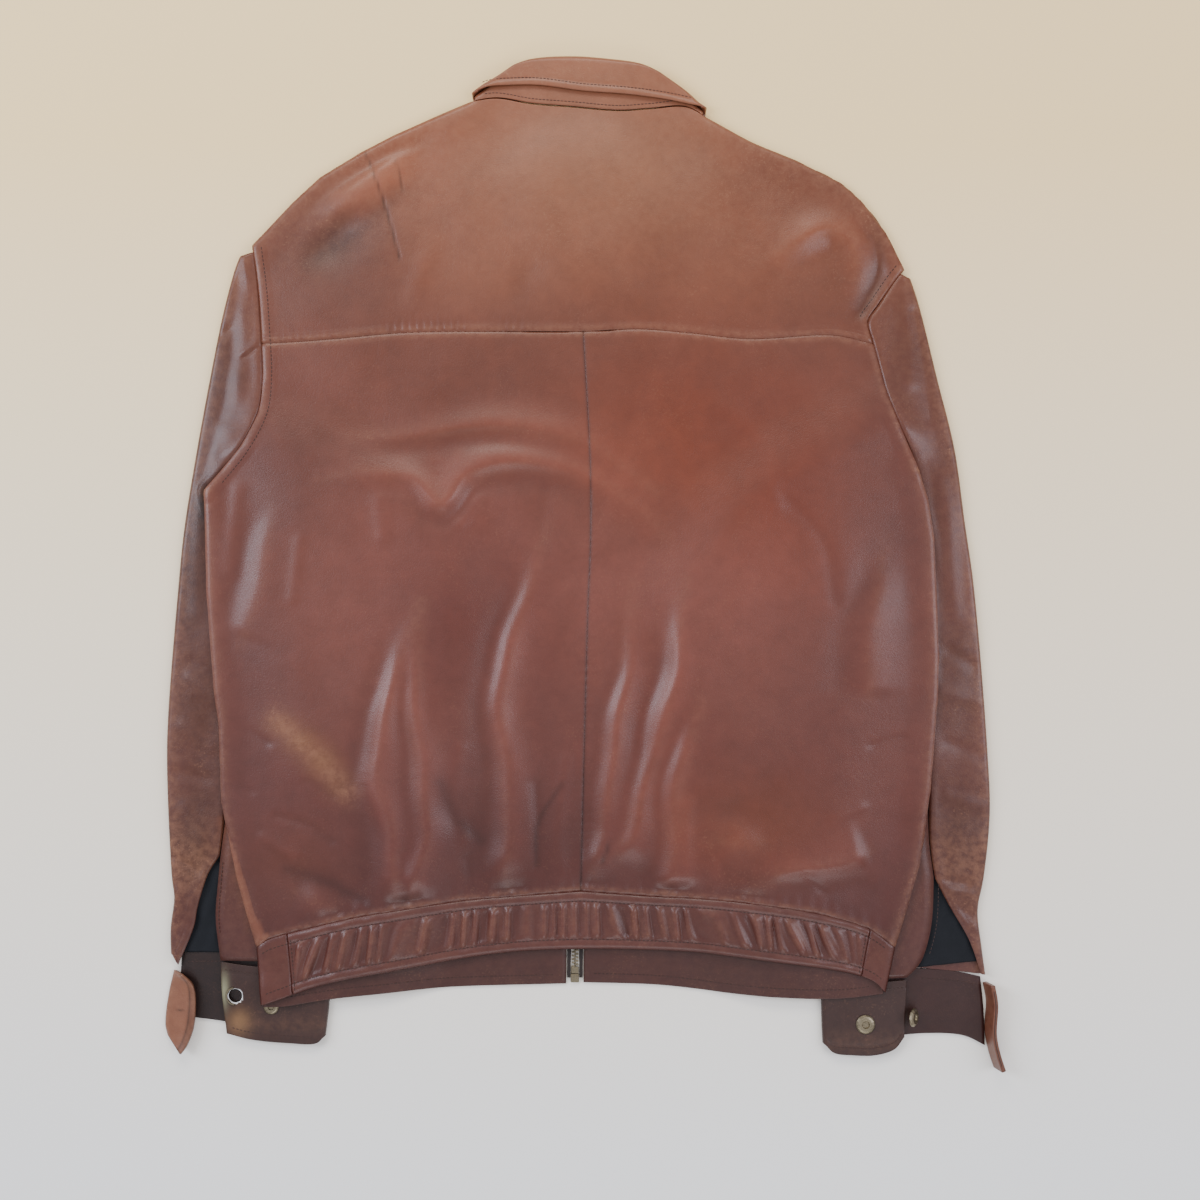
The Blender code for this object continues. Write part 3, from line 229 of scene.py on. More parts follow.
def roll_share(distance, reach=EDGE_ROLL):
    return np.maximum(np.sqrt(1 - (1 - np.clip(distance / reach, 0, 1)) ** 2), 0.42)


def body_spread(x, y):
    edge = edge_distance(x, y)
    inner = BODY_SPREAD + 2.2 * ease((edge - 20) / 60)
    return inner + (EDGE_SPREAD - inner) * (1 - ease(edge / 25))


def body_middle(x, y):
    return FLOOR_LEVEL + body_lift(x, y) + body_spread(x, y) / 2


def front_level(x, y):
    return body_middle(x, y) - body_spread(x, y) / 2 * roll_share(edge_distance(x, y))


def band_level(x, y):
    return body_middle(x, y) + body_spread(x, y) / 2 * roll_share(edge_distance(x, y))


def fold_relief(x, y, folds=BACK_FOLDS, creases=BACK_CREASES):
    edge = edge_distance(x, y)
    hip = line_distance(x, y, BAND_SEAM_LEFT + BAND_SEAM_RIGHT[1:])
    large = sum(height * bell(line_distance(x, y, line), width) for height, width, line in folds)
    small = sum(soft_line(x, y, *crease) for crease in creases)
    return (large + small) * ease((edge - 4) / 18) * ease(hip / 16)


def beside_line(x, y, points):
    """Signed distance from a line, and how far along it the nearest place lies, from 0 to 1."""
    curve = smooth(points, 7 * len(points)) if len(points) > 2 else np.array(points, dtype=float)
    length = run_length(curve)
    best, signed, share = np.full(np.shape(x), 1e9), np.zeros(np.shape(x)), np.zeros(np.shape(x))
    for k in range(len(curve) - 1):
        run = curve[k + 1] - curve[k]
        gx, gy = x - curve[k][0], y - curve[k][1]
        part = np.clip((gx * run[0] + gy * run[1]) / max(run @ run, 1e-9), 0, 1)
        gx, gy = gx - part * run[0], gy - part * run[1]
        gap = np.hypot(gx, gy)
        nearer = gap < best
        best = np.where(nearer, gap, best)
        signed = np.where(nearer, gap * np.sign(run[0] * gy - run[1] * gx), signed)
        share = np.where(nearer, (length[k] + part * (length[k + 1] - length[k])) / length[-1], share)
    return signed, share


SHORT_FOLD = 75
HIP_START = 230
MIDDLE_FOLD, HIP_FOLD = 1.35, 0.55
SHOULDER_FOLDS = [
    (1.5, 10, [(-138, 334), (-196, 292), (-240, 260)]),
    (-1.4, 14, [(-140, 316), (-195, 270), (-240, 236)]),
    (1.1, 11, [(130, 236), (196, 268), (224, 276)]),
    (-1.4, 8, [(230, 292), (246, 252), (226, 200)]),
    (0.9, 9, [(-116, 280), (-138, 226), (-148, 196)]),
    (-0.8, 11, [(-34, 268), (-46, 230), (-64, 200)]),
]


def crest_relief(x, y):
    """Makes a soft fold of each plain ridge: tapered, steep on one flank, hollow beside."""
    edge = edge_distance(x, y)
    hip = line_distance(x, y, BAND_SEAM_LEFT + BAND_SEAM_RIGHT[1:])
    wx = x + 3.0 * np.sin(y / 27 + x / 60) + 1.2 * np.sin(y / 11)
    wy = y + 3.0 * np.sin(x / 31 + 1)
    change = np.zeros(np.shape(x))
    for height, width, line in BACK_FOLDS:
        plain = height * bell(line_distance(x, y, line), width)
        gap, share = beside_line(wx, wy, line)
        if run_length(np.array(line, dtype=float))[-1] < SHORT_FOLD:
            short = ease((share + 0.12) / 0.62) * ease((1.12 - share) / 0.62)
            change = change + 0.9 * height * bell(gap, width) * short - plain
            continue
        taper = ease(share / 0.42) * ease((1 - share) / (0.42 if line[-1][1] > 0 else 0.09))
        wide = width * (0.62 + 0.55 * share)
        flank = np.where(gap > 0, wide * 1.3, wide * 0.62)
        share_of_height = MIDDLE_FOLD if abs(line[0][0]) < HIP_START else HIP_FOLD
        crest = share_of_height * height * np.exp(-np.abs(gap / flank) ** 1.7) * taper
        hollow = -0.32 * height * bell(gap + 1.5 * wide, 0.75 * wide) * taper
        change = change + crest + hollow - plain
    shoulder = np.zeros(np.shape(x))
    for height, width, line in SHOULDER_FOLDS:
        gap, share = beside_line(wx, wy, line)
        taper = ease(share / 0.45) * ease((1 - share) / 0.45)
        shoulder = shoulder + height * bell(gap, width) * taper
    return (change + shoulder) * ease((edge - 3) / 14) * ease(hip / 8)


def back_level(x, y):
    return band_level(x, y) + fold_relief(x, y, creases=[(0, 1, [(0, 0), (1, 0)])])


def seam_relief(x, y):
    """Turned edges that dip at each seam, the raised turning beside it and the groove of its stitches."""
    armhole = np.minimum(line_distance(x, y, ARMHOLE_LEFT + CAP_SEAM_LEFT[1:]),
                         line_distance(x, y, ARMHOLE_RIGHT + CAP_SEAM_RIGHT[1:]))
    yoke_line = smooth(YOKE_SEAM_LEFT + YOKE_SEAM_RIGHT[1:], 60)
    yoke = line_distance(x, y, yoke_line)
    above = y > np.interp(x, yoke_line[:, 0], yoke_line[:, 1])
    hip = line_distance(x, y, BAND_SEAM_LEFT + BAND_SEAM_RIGHT[1:])
    centre = np.where(above, 60, line_distance(x, y, smooth(CENTRE_SEAM, 40)))
    side = line_distance(x, y, SIDE_SEAM_LEFT)
    relief = 0.5 * (1 - ease((armhole - 8) / 2.5)) - 0.3 * bell(armhole - 7.4, 1.0)
    relief = relief + above * (0.45 * (1 - ease((yoke - 5.5) / 2)) - 0.3 * bell(yoke - 5.0, 0.9))
    for gap, depth in ((armhole, 1.0), (yoke, 0.8), (hip, 1.1), (centre, 0.35), (side, 0.7)):
        relief = relief - depth * bell(gap, 1.3)
    beat = 2 * math.pi * (y + 2.4 * np.sin(y / 23) + 1.1 * np.sin(y / 9) + 0.8 * np.sin(x)) / 6.8
    uneven = 0.45 + 0.35 * np.sin(y / 17 + 1) + 0.2 * np.sin(y / 7.3)
    pucker = (0.5 + 0.5 * np.cos(beat)) ** 2 * bell(centre - 3.2, 5)
    relief = relief - 0.42 * uneven * pucker * ease((70 - y) / 40)
    crimp = 2 * math.pi * (x + 1.2 * np.sin(x / 17)) / 5.8
    patches = ease((40 - np.abs(x + 130)) / 16) + 0.8 * ease((14 - np.abs(x + 59)) / 8) + 0.3
    relief = relief - 0.8 * (0.5 + 0.5 * np.cos(crimp)) ** 2 * patches * bell(yoke - 3, 5.5) * above
    hem_beat = 2 * math.pi * (x + 2 * np.sin(x / 31)) / 11.5
    relief = relief + 0.5 * np.cos(hem_beat) * bell(hip - 4, 7)
    return relief


def back_surface(x, y):
    sway = 0.35 * np.sin(x / 19 + np.sin(y / 37)) * np.sin(y / 27 + 1.3 * np.sin(x / 43))
    quiet = ease((edge_distance(x, y) - 4) / 14)
    return band_level(x, y) + fold_relief(x, y) + crest_relief(x, y) + sway * quiet + seam_relief(x, y)


def patch(bottom, top, left, right, across, up):
    """Grid of plan points between four edges, which are sampled already."""
    u = np.asarray(across)[None, :, None]
    v = np.asarray(up)[:, None, None]
    sides = (1 - u) * left[:, None, :] + u * right[:, None, :]
    ends = (1 - v) * bottom[None, :, :] + v * top[None, :, :]
    corners = ((1 - u) * (1 - v) * bottom[0] + u * (1 - v) * bottom[-1]
               + (1 - u) * v * top[0] + u * v * top[-1])
    return sides + ends - corners


def steps(length, cell, ends=(True, True)):
    """Fractions from 0 to 1, close together beside a seam or a rolled edge."""
    near = np.array([0.6, 1.3, 2.3, 3.6, 5.2, 6.6, 7.6, 8.8]) / length
    start = [0.0] + (list(near) if ends[0] else [])
    finish = (list(1 - near[::-1]) if ends[1] else []) + [1.0]
    middle = np.linspace(start[-1], finish[0], int((finish[0] - start[-1]) * length / cell) + 1)[1:-1]
    return np.array(start + list(middle) + finish)


def trim(grid, bottom=0.0, top=0.0, left=0.0, right=0.0):
    """Draw the edges of a grid in by a seam's half gap."""
    grid = grid.copy()
    for edge, beside, gap in ((0, 1, bottom), (-1, -2, top)):
        step = grid[beside] - grid[edge]
        grid[edge] += step / np.linalg.norm(step, axis=-1, keepdims=True) * gap
    for edge, beside, gap in ((0, 1, left), (-1, -2, right)):
        step = grid[:, beside] - grid[:, edge]
        grid[:, edge] += step / np.linalg.norm(step, axis=-1, keepdims=True) * gap
    return grid


def raise_grid(plan, level):
    return np.dstack([plan, level(plan[..., 0], plan[..., 1])])


# Dye as it has faded: screen colours down the middle of the jacket, then soft patches of it; some patches are
# painted shade and a few a painted sheen
FADE_DOWN = [(420, (136, 81, 56)), (340, (119, 67, 46)), (250, (104, 59, 43)), (185, (97, 55, 42)),
             (100, (97, 54, 43)), (0, (110, 63, 53)), (-120, (97, 56, 48)), (-230, (80, 44, 40)),
             (-330, (70, 39, 36))]
FADE_SHADE_AND_SHEEN_PATCHES = [
    # Painted shade: the patches at (-275, -60), (262, 10), (-250, 30) and (250, -20) darken the left and right
    # sides, and the one at (-208, 258) the hollow of the left shoulder.
    (-275, -60, 34, 150, (79, 47, 43), 0.6), (262, 10, 34, 120, (79, 47, 42), 0.6),
    (20, 330, 110, 70, (133, 87, 63), 0.7), (161, 312, 62, 44, (98, 55, 38), 0.75),
    (-208, 258, 52, 40, (78, 48, 42), 0.85), (-60, 250, 90, 45, (130, 79, 58), 0.5),
    (-205, 240, 62, 42, (94, 53, 39), 0.65), (215, 265, 60, 60, (98, 52, 35), 0.65),
    (100, 240, 90, 50, (118, 68, 47), 0.5), (80, 110, 80, 80, (111, 53, 33), 0.75),
    (170, 60, 70, 90, (103, 48, 33), 0.6), (-250, 30, 60, 90, (84, 46, 36), 0.65),
    (-90, -40, 70, 90, (81, 39, 32), 0.6), (-150, 140, 90, 50, (96, 51, 37), 0.4),
    (140, -210, 90, 50, (101, 53, 35), 0.65), (215, -120, 60, 90, (86, 45, 37), 0.6),
    (-60, -230, 90, 45, (70, 37, 31), 0.6), (60, -110, 60, 80, (91, 45, 35), 0.5),
    # These four pale olive-tan patches along the left hip are a painted sheen.
    (-246, -130, 13, 9, (115, 73, 46), 0.5), (-230, -144, 14, 11, (115, 76, 46), 0.5),
    (-214, -160, 14, 13, (111, 75, 46), 0.5), (-200, -178, 13, 14, (103, 68, 44), 0.4),
    (-240, -240, 50, 40, (86, 48, 36), 0.5), (250, -20, 40, 110, (80, 44, 36), 0.55),
]


def linear(colour):
    return np.asarray(colour, dtype=float) ** 2.2 / 255.0 ** 2.2


def blend(colour, other, share):
    return colour * (1 - share) + linear(other) * share


def spot(x, y, px, py, rx, ry):
    return np.exp(-((x - px) / rx) ** 2 - ((y - py) / ry) ** 2)[..., None]


def patched(colour, x, y, patches):
    """The colour with soft patches over it: place, size, colour and strength of each."""
    for px, py, rx, ry, patch_colour, amount in patches:
        colour = blend(colour, patch_colour, amount * spot(x, y, px, py, rx, ry))
    return colour


# Thin dark lines where the leather has cracked along a sharp crease, and wider bands of painted shade along deep
# troughs: strength, half width, line
CRACKS_AND_TROUGH_SHADE = [
    (0.5, 1.0, [(-179, 339), (-167, 307.5), (-159, 282), (-151, 252)]),
    (0.45, 0.9, [(-154, 333), (-148, 307.5)]),
    (0.3, 2.4, [(-17, -179), (-38, -215), (-38, -246)]),
    (0.3, 1.6, [(21, -229), (16, -243.5)]),
    # The last four, 5 to 7 mm wide, lie on troughs and are painted shade.
    (0.22, 5.0, [(-117, -179), (-101, -212), (-84, -226)]),
    (0.22, 5.0, [(-241, -249), (-213, -258), (-176, -276)]),
    (0.2, 7.0, [(-148, 307), (-185, 275), (-228, 246)]),
    (0.2, 6.0, [(240, 282), (245, 251), (229, 210)]),
]


def dye_and_painted_light(x, y, shade=1.0):
    """The faded colour at a place on the jacket, with painted shade and sheen from some patches and trough bands,
    times the given shade, as linear light.
    """
    heights = np.array([row[0] for row in FADE_DOWN][::-1], dtype=float)
    shades = linear([row[1] for row in FADE_DOWN][::-1])
    colour = np.stack([np.interp(y, heights, shades[:, band]) for band in range(3)], axis=-1)
    colour = patched(colour, x, y, FADE_SHADE_AND_SHEEN_PATCHES)
    # Crack lines and the painted shade of troughs darken the colour.
    dark = sum(strength * bell(line_distance(x, y, smooth(line, 30)), width)
               for strength, width, line in CRACKS_AND_TROUGH_SHADE)
    middle = line_distance(x, y, smooth(CENTRE_SEAM, 40))
    dark = dark + 0.45 * bell(middle, 1.4)
    side = line_distance(x, y, SIDE_SEAM_LEFT)
    outside = x < np.interp(-y, [-p[1] for p in SIDE_SEAM_LEFT], [p[0] for p in SIDE_SEAM_LEFT])
    strip = (0.5 * outside * (y < -207) * bell(side - 4, 5))[..., None]
    colour = blend(colour, (128, 78, 58), strip)
    return colour * (1 - np.clip(dark, 0, 0.6))[..., None] * shade


def fold_painted_light_and_shade(x, y):
    """Painted light and shade: ridges are painted a little paler and hollows a little darker, by their height."""
    relief = fold_relief(x, y) + crest_relief(x, y)
    return np.clip(1 + 0.1 * relief, 0.68, 1.35)[..., None]


def new_material(name):
    material = bpy.data.materials.new(name)
    material.use_nodes = True
    nodes = material.node_tree.nodes
    return material, nodes, material.node_tree.links, nodes["Principled BSDF"]


def add_node(tree, kind, result, numbers=(), linked=()):
    """A shader node with its numbers set and its other inputs linked, and the output that is used."""
    nodes, links = tree
    node = nodes.new("ShaderNode" + kind)
    for name, value in dict(numbers).items():
        node.inputs[name].default_value = value
    for name, value in dict(linked).items():
        links.new(value, node.inputs[name])
    return node.outputs[result]


def two_tones(tree, share, low, high, stops=(0.0, 1.0)):
    nodes, links = tree
    ramp = nodes.new("ShaderNodeValToRGB")
    for element, colour, stop in zip(ramp.color_ramp.elements, (low, high), stops):
        element.color, element.position = (*colour, 1), stop
    links.new(share, ramp.inputs["Fac"])
    return ramp.outputs["Color"]


def grain_group():
    """Leather's surface from its dye, which carries painted light and shade on many pieces, and its wear: mottling,
    scuffs, fine grain and shallow wrinkles.
    """
    group = bpy.data.node_groups.new("Leather grain", "ShaderNodeTree")
    socket = group.interface.new_socket
    for name, kind, value in (("Dye_and_painted_light", "NodeSocketColor", (0.2, 0.08, 0.05, 1)),
                              ("Wear", "NodeSocketFloat", 0.0), ("Wrinkle", "NodeSocketFloat", 1.0)):
        socket(name, in_out="INPUT", socket_type=kind).default_value = value
    for name, kind in (("Colour", "NodeSocketColor"), ("Roughness", "NodeSocketFloat"),
                       ("Height", "NodeSocketFloat")):
        socket(name, in_out="OUTPUT", socket_type=kind)
    nodes, links = group.nodes, group.links
    entry, leave = nodes.new("NodeGroupInput"), nodes.new("NodeGroupOutput")
    place = nodes.new("ShaderNodeTexCoord").outputs["Object"]

    def noise(scale, detail, rough=0.5, twist=0.0):
        return add_node((nodes, links), "TexNoise", "Fac", {
            "Scale": scale, "Detail": detail, "Roughness": rough, "Distortion": twist}, {"Vector": place})

    def spread(value, low, high, to_low, to_high):
        return add_node((nodes, links), "MapRange", "Result", {
            "From Min": low, "From Max": high, "To Min": to_low, "To Max": to_high}, {"Value": value})

    def maths(how, a, b):
        node = nodes.new("ShaderNodeMath")
        node.operation = how
        for socket_in, value in zip(node.inputs, (a, b)):
            if isinstance(value, (int, float)):
                socket_in.default_value = value
            else:
                links.new(value, socket_in)
        return node.outputs["Value"]

    def mixed(how, share, a, b):
        node = nodes.new("ShaderNodeMix")
        node.data_type, node.blend_type = "RGBA", how
        if isinstance(share, (int, float)):
            node.inputs["Factor"].default_value = share
        else:
            links.new(share, node.inputs["Factor"])
        for name, value in (("A", a), ("B", b)):
            target = [s for s in node.inputs if s.name == name and s.type == "RGBA"][0]
            if isinstance(value, tuple):
                target.default_value = value
            else:
                links.new(value, target)
        return [s for s in node.outputs if s.type == "RGBA"][0]

    broad = spread(noise(11, 4, 0.55), 0.3, 0.7, 0.90, 1.10)
    mid = spread(noise(70, 5, 0.6), 0.3, 0.7, 0.93, 1.07)
    scale = nodes.new("ShaderNodeCombineColor")
    level = maths("MULTIPLY", broad, mid)
    for name in ("Red", "Green", "Blue"):
        links.new(level, scale.inputs[name])
    colour = mixed("MULTIPLY", 1.0, entry.outputs["Dye_and_painted_light"], scale.outputs["Color"])
    ridged = maths("ABSOLUTE", maths("SUBTRACT", noise(38, 6, 0.62, 1.6), 0.5), 0.0)
    crack = spread(ridged, 0.0, 0.05, 1.0, 0.0)
    colour = mixed("MULTIPLY", maths("MULTIPLY", crack, 0.08), colour, (0.45, 0.38, 0.36, 1))
    scuff = spread(noise(520, 4, 0.7), 0.56, 0.66, 0.0, 1.0)
    patchy = spread(noise(24, 5, 0.6), 0.46, 0.64, 0.0, 1.0)
    everywhere = maths("ADD", entry.outputs["Wear"], 0.22)
    scuffed = maths("MULTIPLY", maths("MULTIPLY", scuff, patchy), everywhere)
    colour = mixed("MIX", maths("MULTIPLY", scuffed, 0.45), colour, (0.36, 0.18, 0.10, 1))
    # High wear paints the colour paler: rubbed leather, and on the left hip a painted sheen.
    rubbed = maths("MULTIPLY", entry.outputs["Wear"], spread(noise(160, 5, 0.65), 0.38, 0.62, 0.25, 1.0))
    colour = mixed("MIX", maths("MULTIPLY", rubbed, 0.4), colour, (0.33, 0.15, 0.08, 1))
    links.new(colour, leave.inputs["Colour"])
    pores = add_node((nodes, links), "TexVoronoi", "Distance", {"Scale": 850}, {"Vector": place})
    grain = maths("MULTIPLY", pores, 0.30)
    wrinkle = maths("MULTIPLY", maths("MULTIPLY", crack, -0.12), entry.outputs["Wrinkle"])
    soft = maths("MULTIPLY", noise(55, 4, 0.5), 0.9)
    links.new(maths("ADD", maths("ADD", grain, wrinkle), soft), leave.inputs["Height"])
    gloss = spread(noise(30, 4, 0.6), 0.3, 0.7, 0.36, 0.46)
    links.new(maths("ADD", gloss, maths("MULTIPLY", rubbed, 0.12)), leave.inputs["Roughness"])
    return group


LEATHER_GRAIN = grain_group()


def leather(name, wrinkle=1.0, bump=0.4):
    """Finished cowhide: painted by its own dye and wear attributes, the dye carrying painted light and shade and
    the wear a painted sheen on the left hip, with a thin waxed coat.
    """
    material, nodes, links, shader = new_material(name)
    group = nodes.new("ShaderNodeGroup")
    group.node_tree = LEATHER_GRAIN
    group.inputs["Wrinkle"].default_value = wrinkle
    for attribute, result, target in (("dye_and_painted_light", "Color", "Dye_and_painted_light"), ("wear", "Fac", "Wear")):
        source = nodes.new("ShaderNodeAttribute")
        source.attribute_name = attribute
        links.new(source.outputs[result], group.inputs[target])
    normal = add_node((nodes, links), "Bump", "Normal", {"Strength": bump, "Distance": 0.0006},
                      {"Height": group.outputs["Height"]})
    links.new(group.outputs["Colour"], shader.inputs["Base Color"])
    links.new(group.outputs["Roughness"], shader.inputs["Roughness"])
    links.new(normal, shader.inputs["Normal"])
    shader.inputs["Coat Weight"].default_value = 0.22
    shader.inputs["Coat Roughness"].default_value = 0.24
    shader.inputs["Specular IOR Level"].default_value = 0.36
    return material


BROWN_LEATHER = leather("brown_leather")


def add_mesh(name, points, faces, material):
    """A new object from points in millimetres."""
    mesh = bpy.data.meshes.new(name)
    mesh.from_pydata(((np.asarray(points) + (*FRAME_SHIFT, 0.0)) * MM).tolist(), [], faces)
    mesh.materials.append(material)
    piece = bpy.data.objects.new(name, mesh)
    bpy.context.scene.collection.objects.link(piece)
    return piece


def cloth(name, grid, colour, wear, material, wall=WALL):
    """A thin shell on a grid of middle points, with its own colour, painted light and shade included, and wear on
    each point.
    """
    rows, columns = grid.shape[:2]
    faces = [(r * columns + c, r * columns + c + 1, (r + 1) * columns + c + 1, (r + 1) * columns + c)
             for r in range(rows - 1) for c in range(columns - 1)]
    piece = add_mesh(name, grid.reshape(-1, 3), faces, material)
    mesh = piece.data
    paint = np.ones((rows * columns, 4))
    paint[:, :3] = np.broadcast_to(colour, (rows, columns, 3)).reshape(-1, 3)
    mesh.attributes.new("dye_and_painted_light", "FLOAT_COLOR", "POINT").data.foreach_set("color", paint.ravel())
    worn = np.ascontiguousarray(np.broadcast_to(wear, (rows, columns)), dtype=float).ravel()
    mesh.attributes.new("wear", "FLOAT", "POINT").data.foreach_set("value", worn)
    mesh.uv_layers.new(name="Cloth")
    across = run_length(grid[rows // 2])
    up = run_length(grid[:, columns // 2])
    plan = np.stack(np.meshgrid(across, up), axis=-1).reshape(-1, 2) * MM
    corner = np.array([index for face in faces for index in face])
    mesh.uv_layers["Cloth"].data.foreach_set("uv", plan[corner].ravel())
    mesh.shade_smooth()
    bpy.context.view_layer.objects.active = piece
    solid = piece.modifiers.new("Wall", "SOLIDIFY")
    solid.thickness = wall * MM
    solid.offset = 0.0
    bpy.ops.object.modifier_apply(modifier=solid.name)
    return piece


def dress(piece, node):
    """The piece stands for its CAD node and rides with the jacket."""
    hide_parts(node)
    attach(piece, "jacket")


# A streak along the left hip, painted pale through the wear attribute as a sheen.
HIP_PAINTED_SHEEN = [(-252, -126), (-230, -146), (-213, -162), (-191, -188)]


def seam_wear_and_hip_sheen(x, y):
    """Rubbed places: the turned edges at seams, the outer folds and the tops of the largest folds, with a painted
    sheen along the left hip.
    """
    seams = [ARMHOLE_LEFT + CAP_SEAM_LEFT[1:], ARMHOLE_RIGHT + CAP_SEAM_RIGHT[1:], YOKE_SEAM_LEFT,
             YOKE_SEAM_RIGHT, BAND_SEAM_LEFT, BAND_SEAM_RIGHT]
    near = np.min([line_distance(x, y, seam) for seam in seams], axis=0)
    wear = 0.5 * bell(near - 2.5, 2.5) + 0.55 * bell(edge_distance(x, y), 6)
    wear = wear + 0.35 * ease((y - 180) / 160)
    # Painted sheen along the left hip.
    wear = wear + 0.7 * bell(line_distance(x, y, HIP_PAINTED_SHEEN), 9)
    ridges = sum(bell(line_distance(x, y, line), 6) for height, _, line in BACK_FOLDS if height > 0)
    return np.clip(wear + 0.16 * ridges, 0, 1)


UP_BACK = steps(505, 2.1)
centre_line = smooth(CENTRE_SEAM, UP_BACK)
rows_side, rows_arm = 450, 150
back_grids = []
side_left = along(joined(smooth(SIDE_LEFT, rows_side), smooth(ARMHOLE_LEFT, rows_arm)), UP_BACK)
side_right = along(joined(smooth(SIDE_RIGHT, rows_side), smooth(ARMHOLE_RIGHT, rows_arm)), UP_BACK)
for side, hip, yoke, left, right, length in (
        ("left", BAND_SEAM_LEFT, YOKE_SEAM_LEFT, side_left, centre_line, 290),
        ("right", BAND_SEAM_RIGHT, YOKE_SEAM_RIGHT, centre_line, side_right, 275)):
    across = steps(length, 3.0)
    plan = patch(smooth(hip, across), smooth(yoke, across), left, right, across, UP_BACK)
    back_grid = raise_grid(trim(plan, HALF_GAP, HALF_GAP, HALF_GAP, HALF_GAP), back_surface)
    x, y = back_grid[..., 0], back_grid[..., 1]
    # The back's colour is its dye times the painted light and shade of its folds.
    back = cloth("back_" + side + "_leather", back_grid, dye_and_painted_light(x, y) * fold_painted_light_and_shade(x, y),
                 seam_wear_and_hip_sheen(x, y), BROWN_LEATHER)
    dress(back, "back_" + side)
    back_grids.append(back_grid)


# The yoke: one piece of leather across the shoulders, topstitched over the back along its lower
# edge. It is the most faded piece, pale and dry where light and a bag strap have rubbed it.
up = steps(130, 2.0)
cap_left, cap_right = smooth(CAP_SEAM_LEFT, up), smooth(CAP_SEAM_RIGHT, up)
lower = joined(smooth(YOKE_SEAM_LEFT, 132), smooth(YOKE_SEAM_RIGHT, 119))
NECK_BACK = [(-92, 380), (-71, 383), (-42, 378), (-8, 375), (29, 372), (55, 374), (85, 376), (101, 367)]
upper = joined(smooth(SHOULDER_LEFT, 99), smooth(NECK_BACK, 64), smooth(SHOULDER_RIGHT, 89))
across = np.linspace(0, 1, len(lower))
plan = trim(patch(lower, upper, cap_left, cap_right, across, up), HALF_GAP, HALF_GAP, HALF_GAP, HALF_GAP)
yoke_grid = raise_grid(plan, back_surface)
x, y = yoke_grid[..., 0], yoke_grid[..., 1]
# The yoke's colour is its dye times the painted light and shade of its folds.
yoke = cloth("back_yoke_leather", yoke_grid, dye_and_painted_light(x, y) * fold_painted_light_and_shade(x, y), seam_wear_and_hip_sheen(x, y), BROWN_LEATHER)
dress(yoke, "back_yoke")


# The waistband's back: a leather tube drawn up into gathers by the elastic sewn inside it, between
# two smooth ends, with a row of topstitching along its upper and its lower edge.
BAND_HEM = [(-263, -360), (-251, -356), (-208, -342), (-136, -329), (-53, -317), (61, -316),
            (145, -323), (223, -335), (240, -342), (247, -350)]
GATHERS = 38
GATHER_DEPTH = 1.15
BAND_LENGTH = 535
END_CUTS = (0.052, 0.953)
STITCH_ROWS = (0.165, 0.835)
seam = joined(smooth(BAND_SEAM_LEFT, 700), smooth(BAND_SEAM_RIGHT, 650))
hem = smooth(BAND_HEM, along(np.stack([run_length(seam)] * 2, axis=1), np.linspace(0, 1, len(seam)))[:, 0]
             / run_length(seam)[-1])


def gather_level(x, y, share, up):
    """Gathers between two flat stitched hems, uneven, leaning outwards towards both ends of the band."""
    lean = 0.10 * (share - 0.45) * (up - 0.5)
    wander = 0.017 * np.sin(13 * share) + 0.009 * np.sin(37 * share + 1) + 0.004 * np.sin(83 * share)
    turn = 2 * math.pi * GATHERS * (share + wander + lean)
    strength = 0.95 + 0.25 * np.sin(23 * share + 0.6) + 0.2 * np.sin(57 * share)
    wave = np.cos(turn) + 0.4 * np.cos(2 * turn + 1.1 * np.sin(9 * share) + 4 * (up - 0.5)) \
        + 0.55 * np.cos(0.41 * turn + 2.0 + 1.8 * up)
    inside = ease((up - 0.13) / 0.16) * ease((0.87 - up) / 0.16)
    ends = ease(share / 0.02) * ease((1 - share) / 0.02)
    rows = 0.55 * bell(up - STITCH_ROWS[0], 0.022) + 0.55 * bell(up - STITCH_ROWS[1], 0.022)
    hems = 0.5 * bell(up - 0.08, 0.06) + 0.6 * bell(up - 0.92, 0.06)
    edges = 0.9 * (bell(up, 0.03) + bell(1 - up, 0.03))
    hem_wave = 0.22 * np.cos(turn * 0.5 + 1) * (bell(up - 0.08, 0.09) + bell(up - 0.92, 0.09))
    return band_level(x, y) + (GATHER_DEPTH * strength * wave * inside + 0.5 * inside + hem_wave) * ends \
        + hems - rows - edges


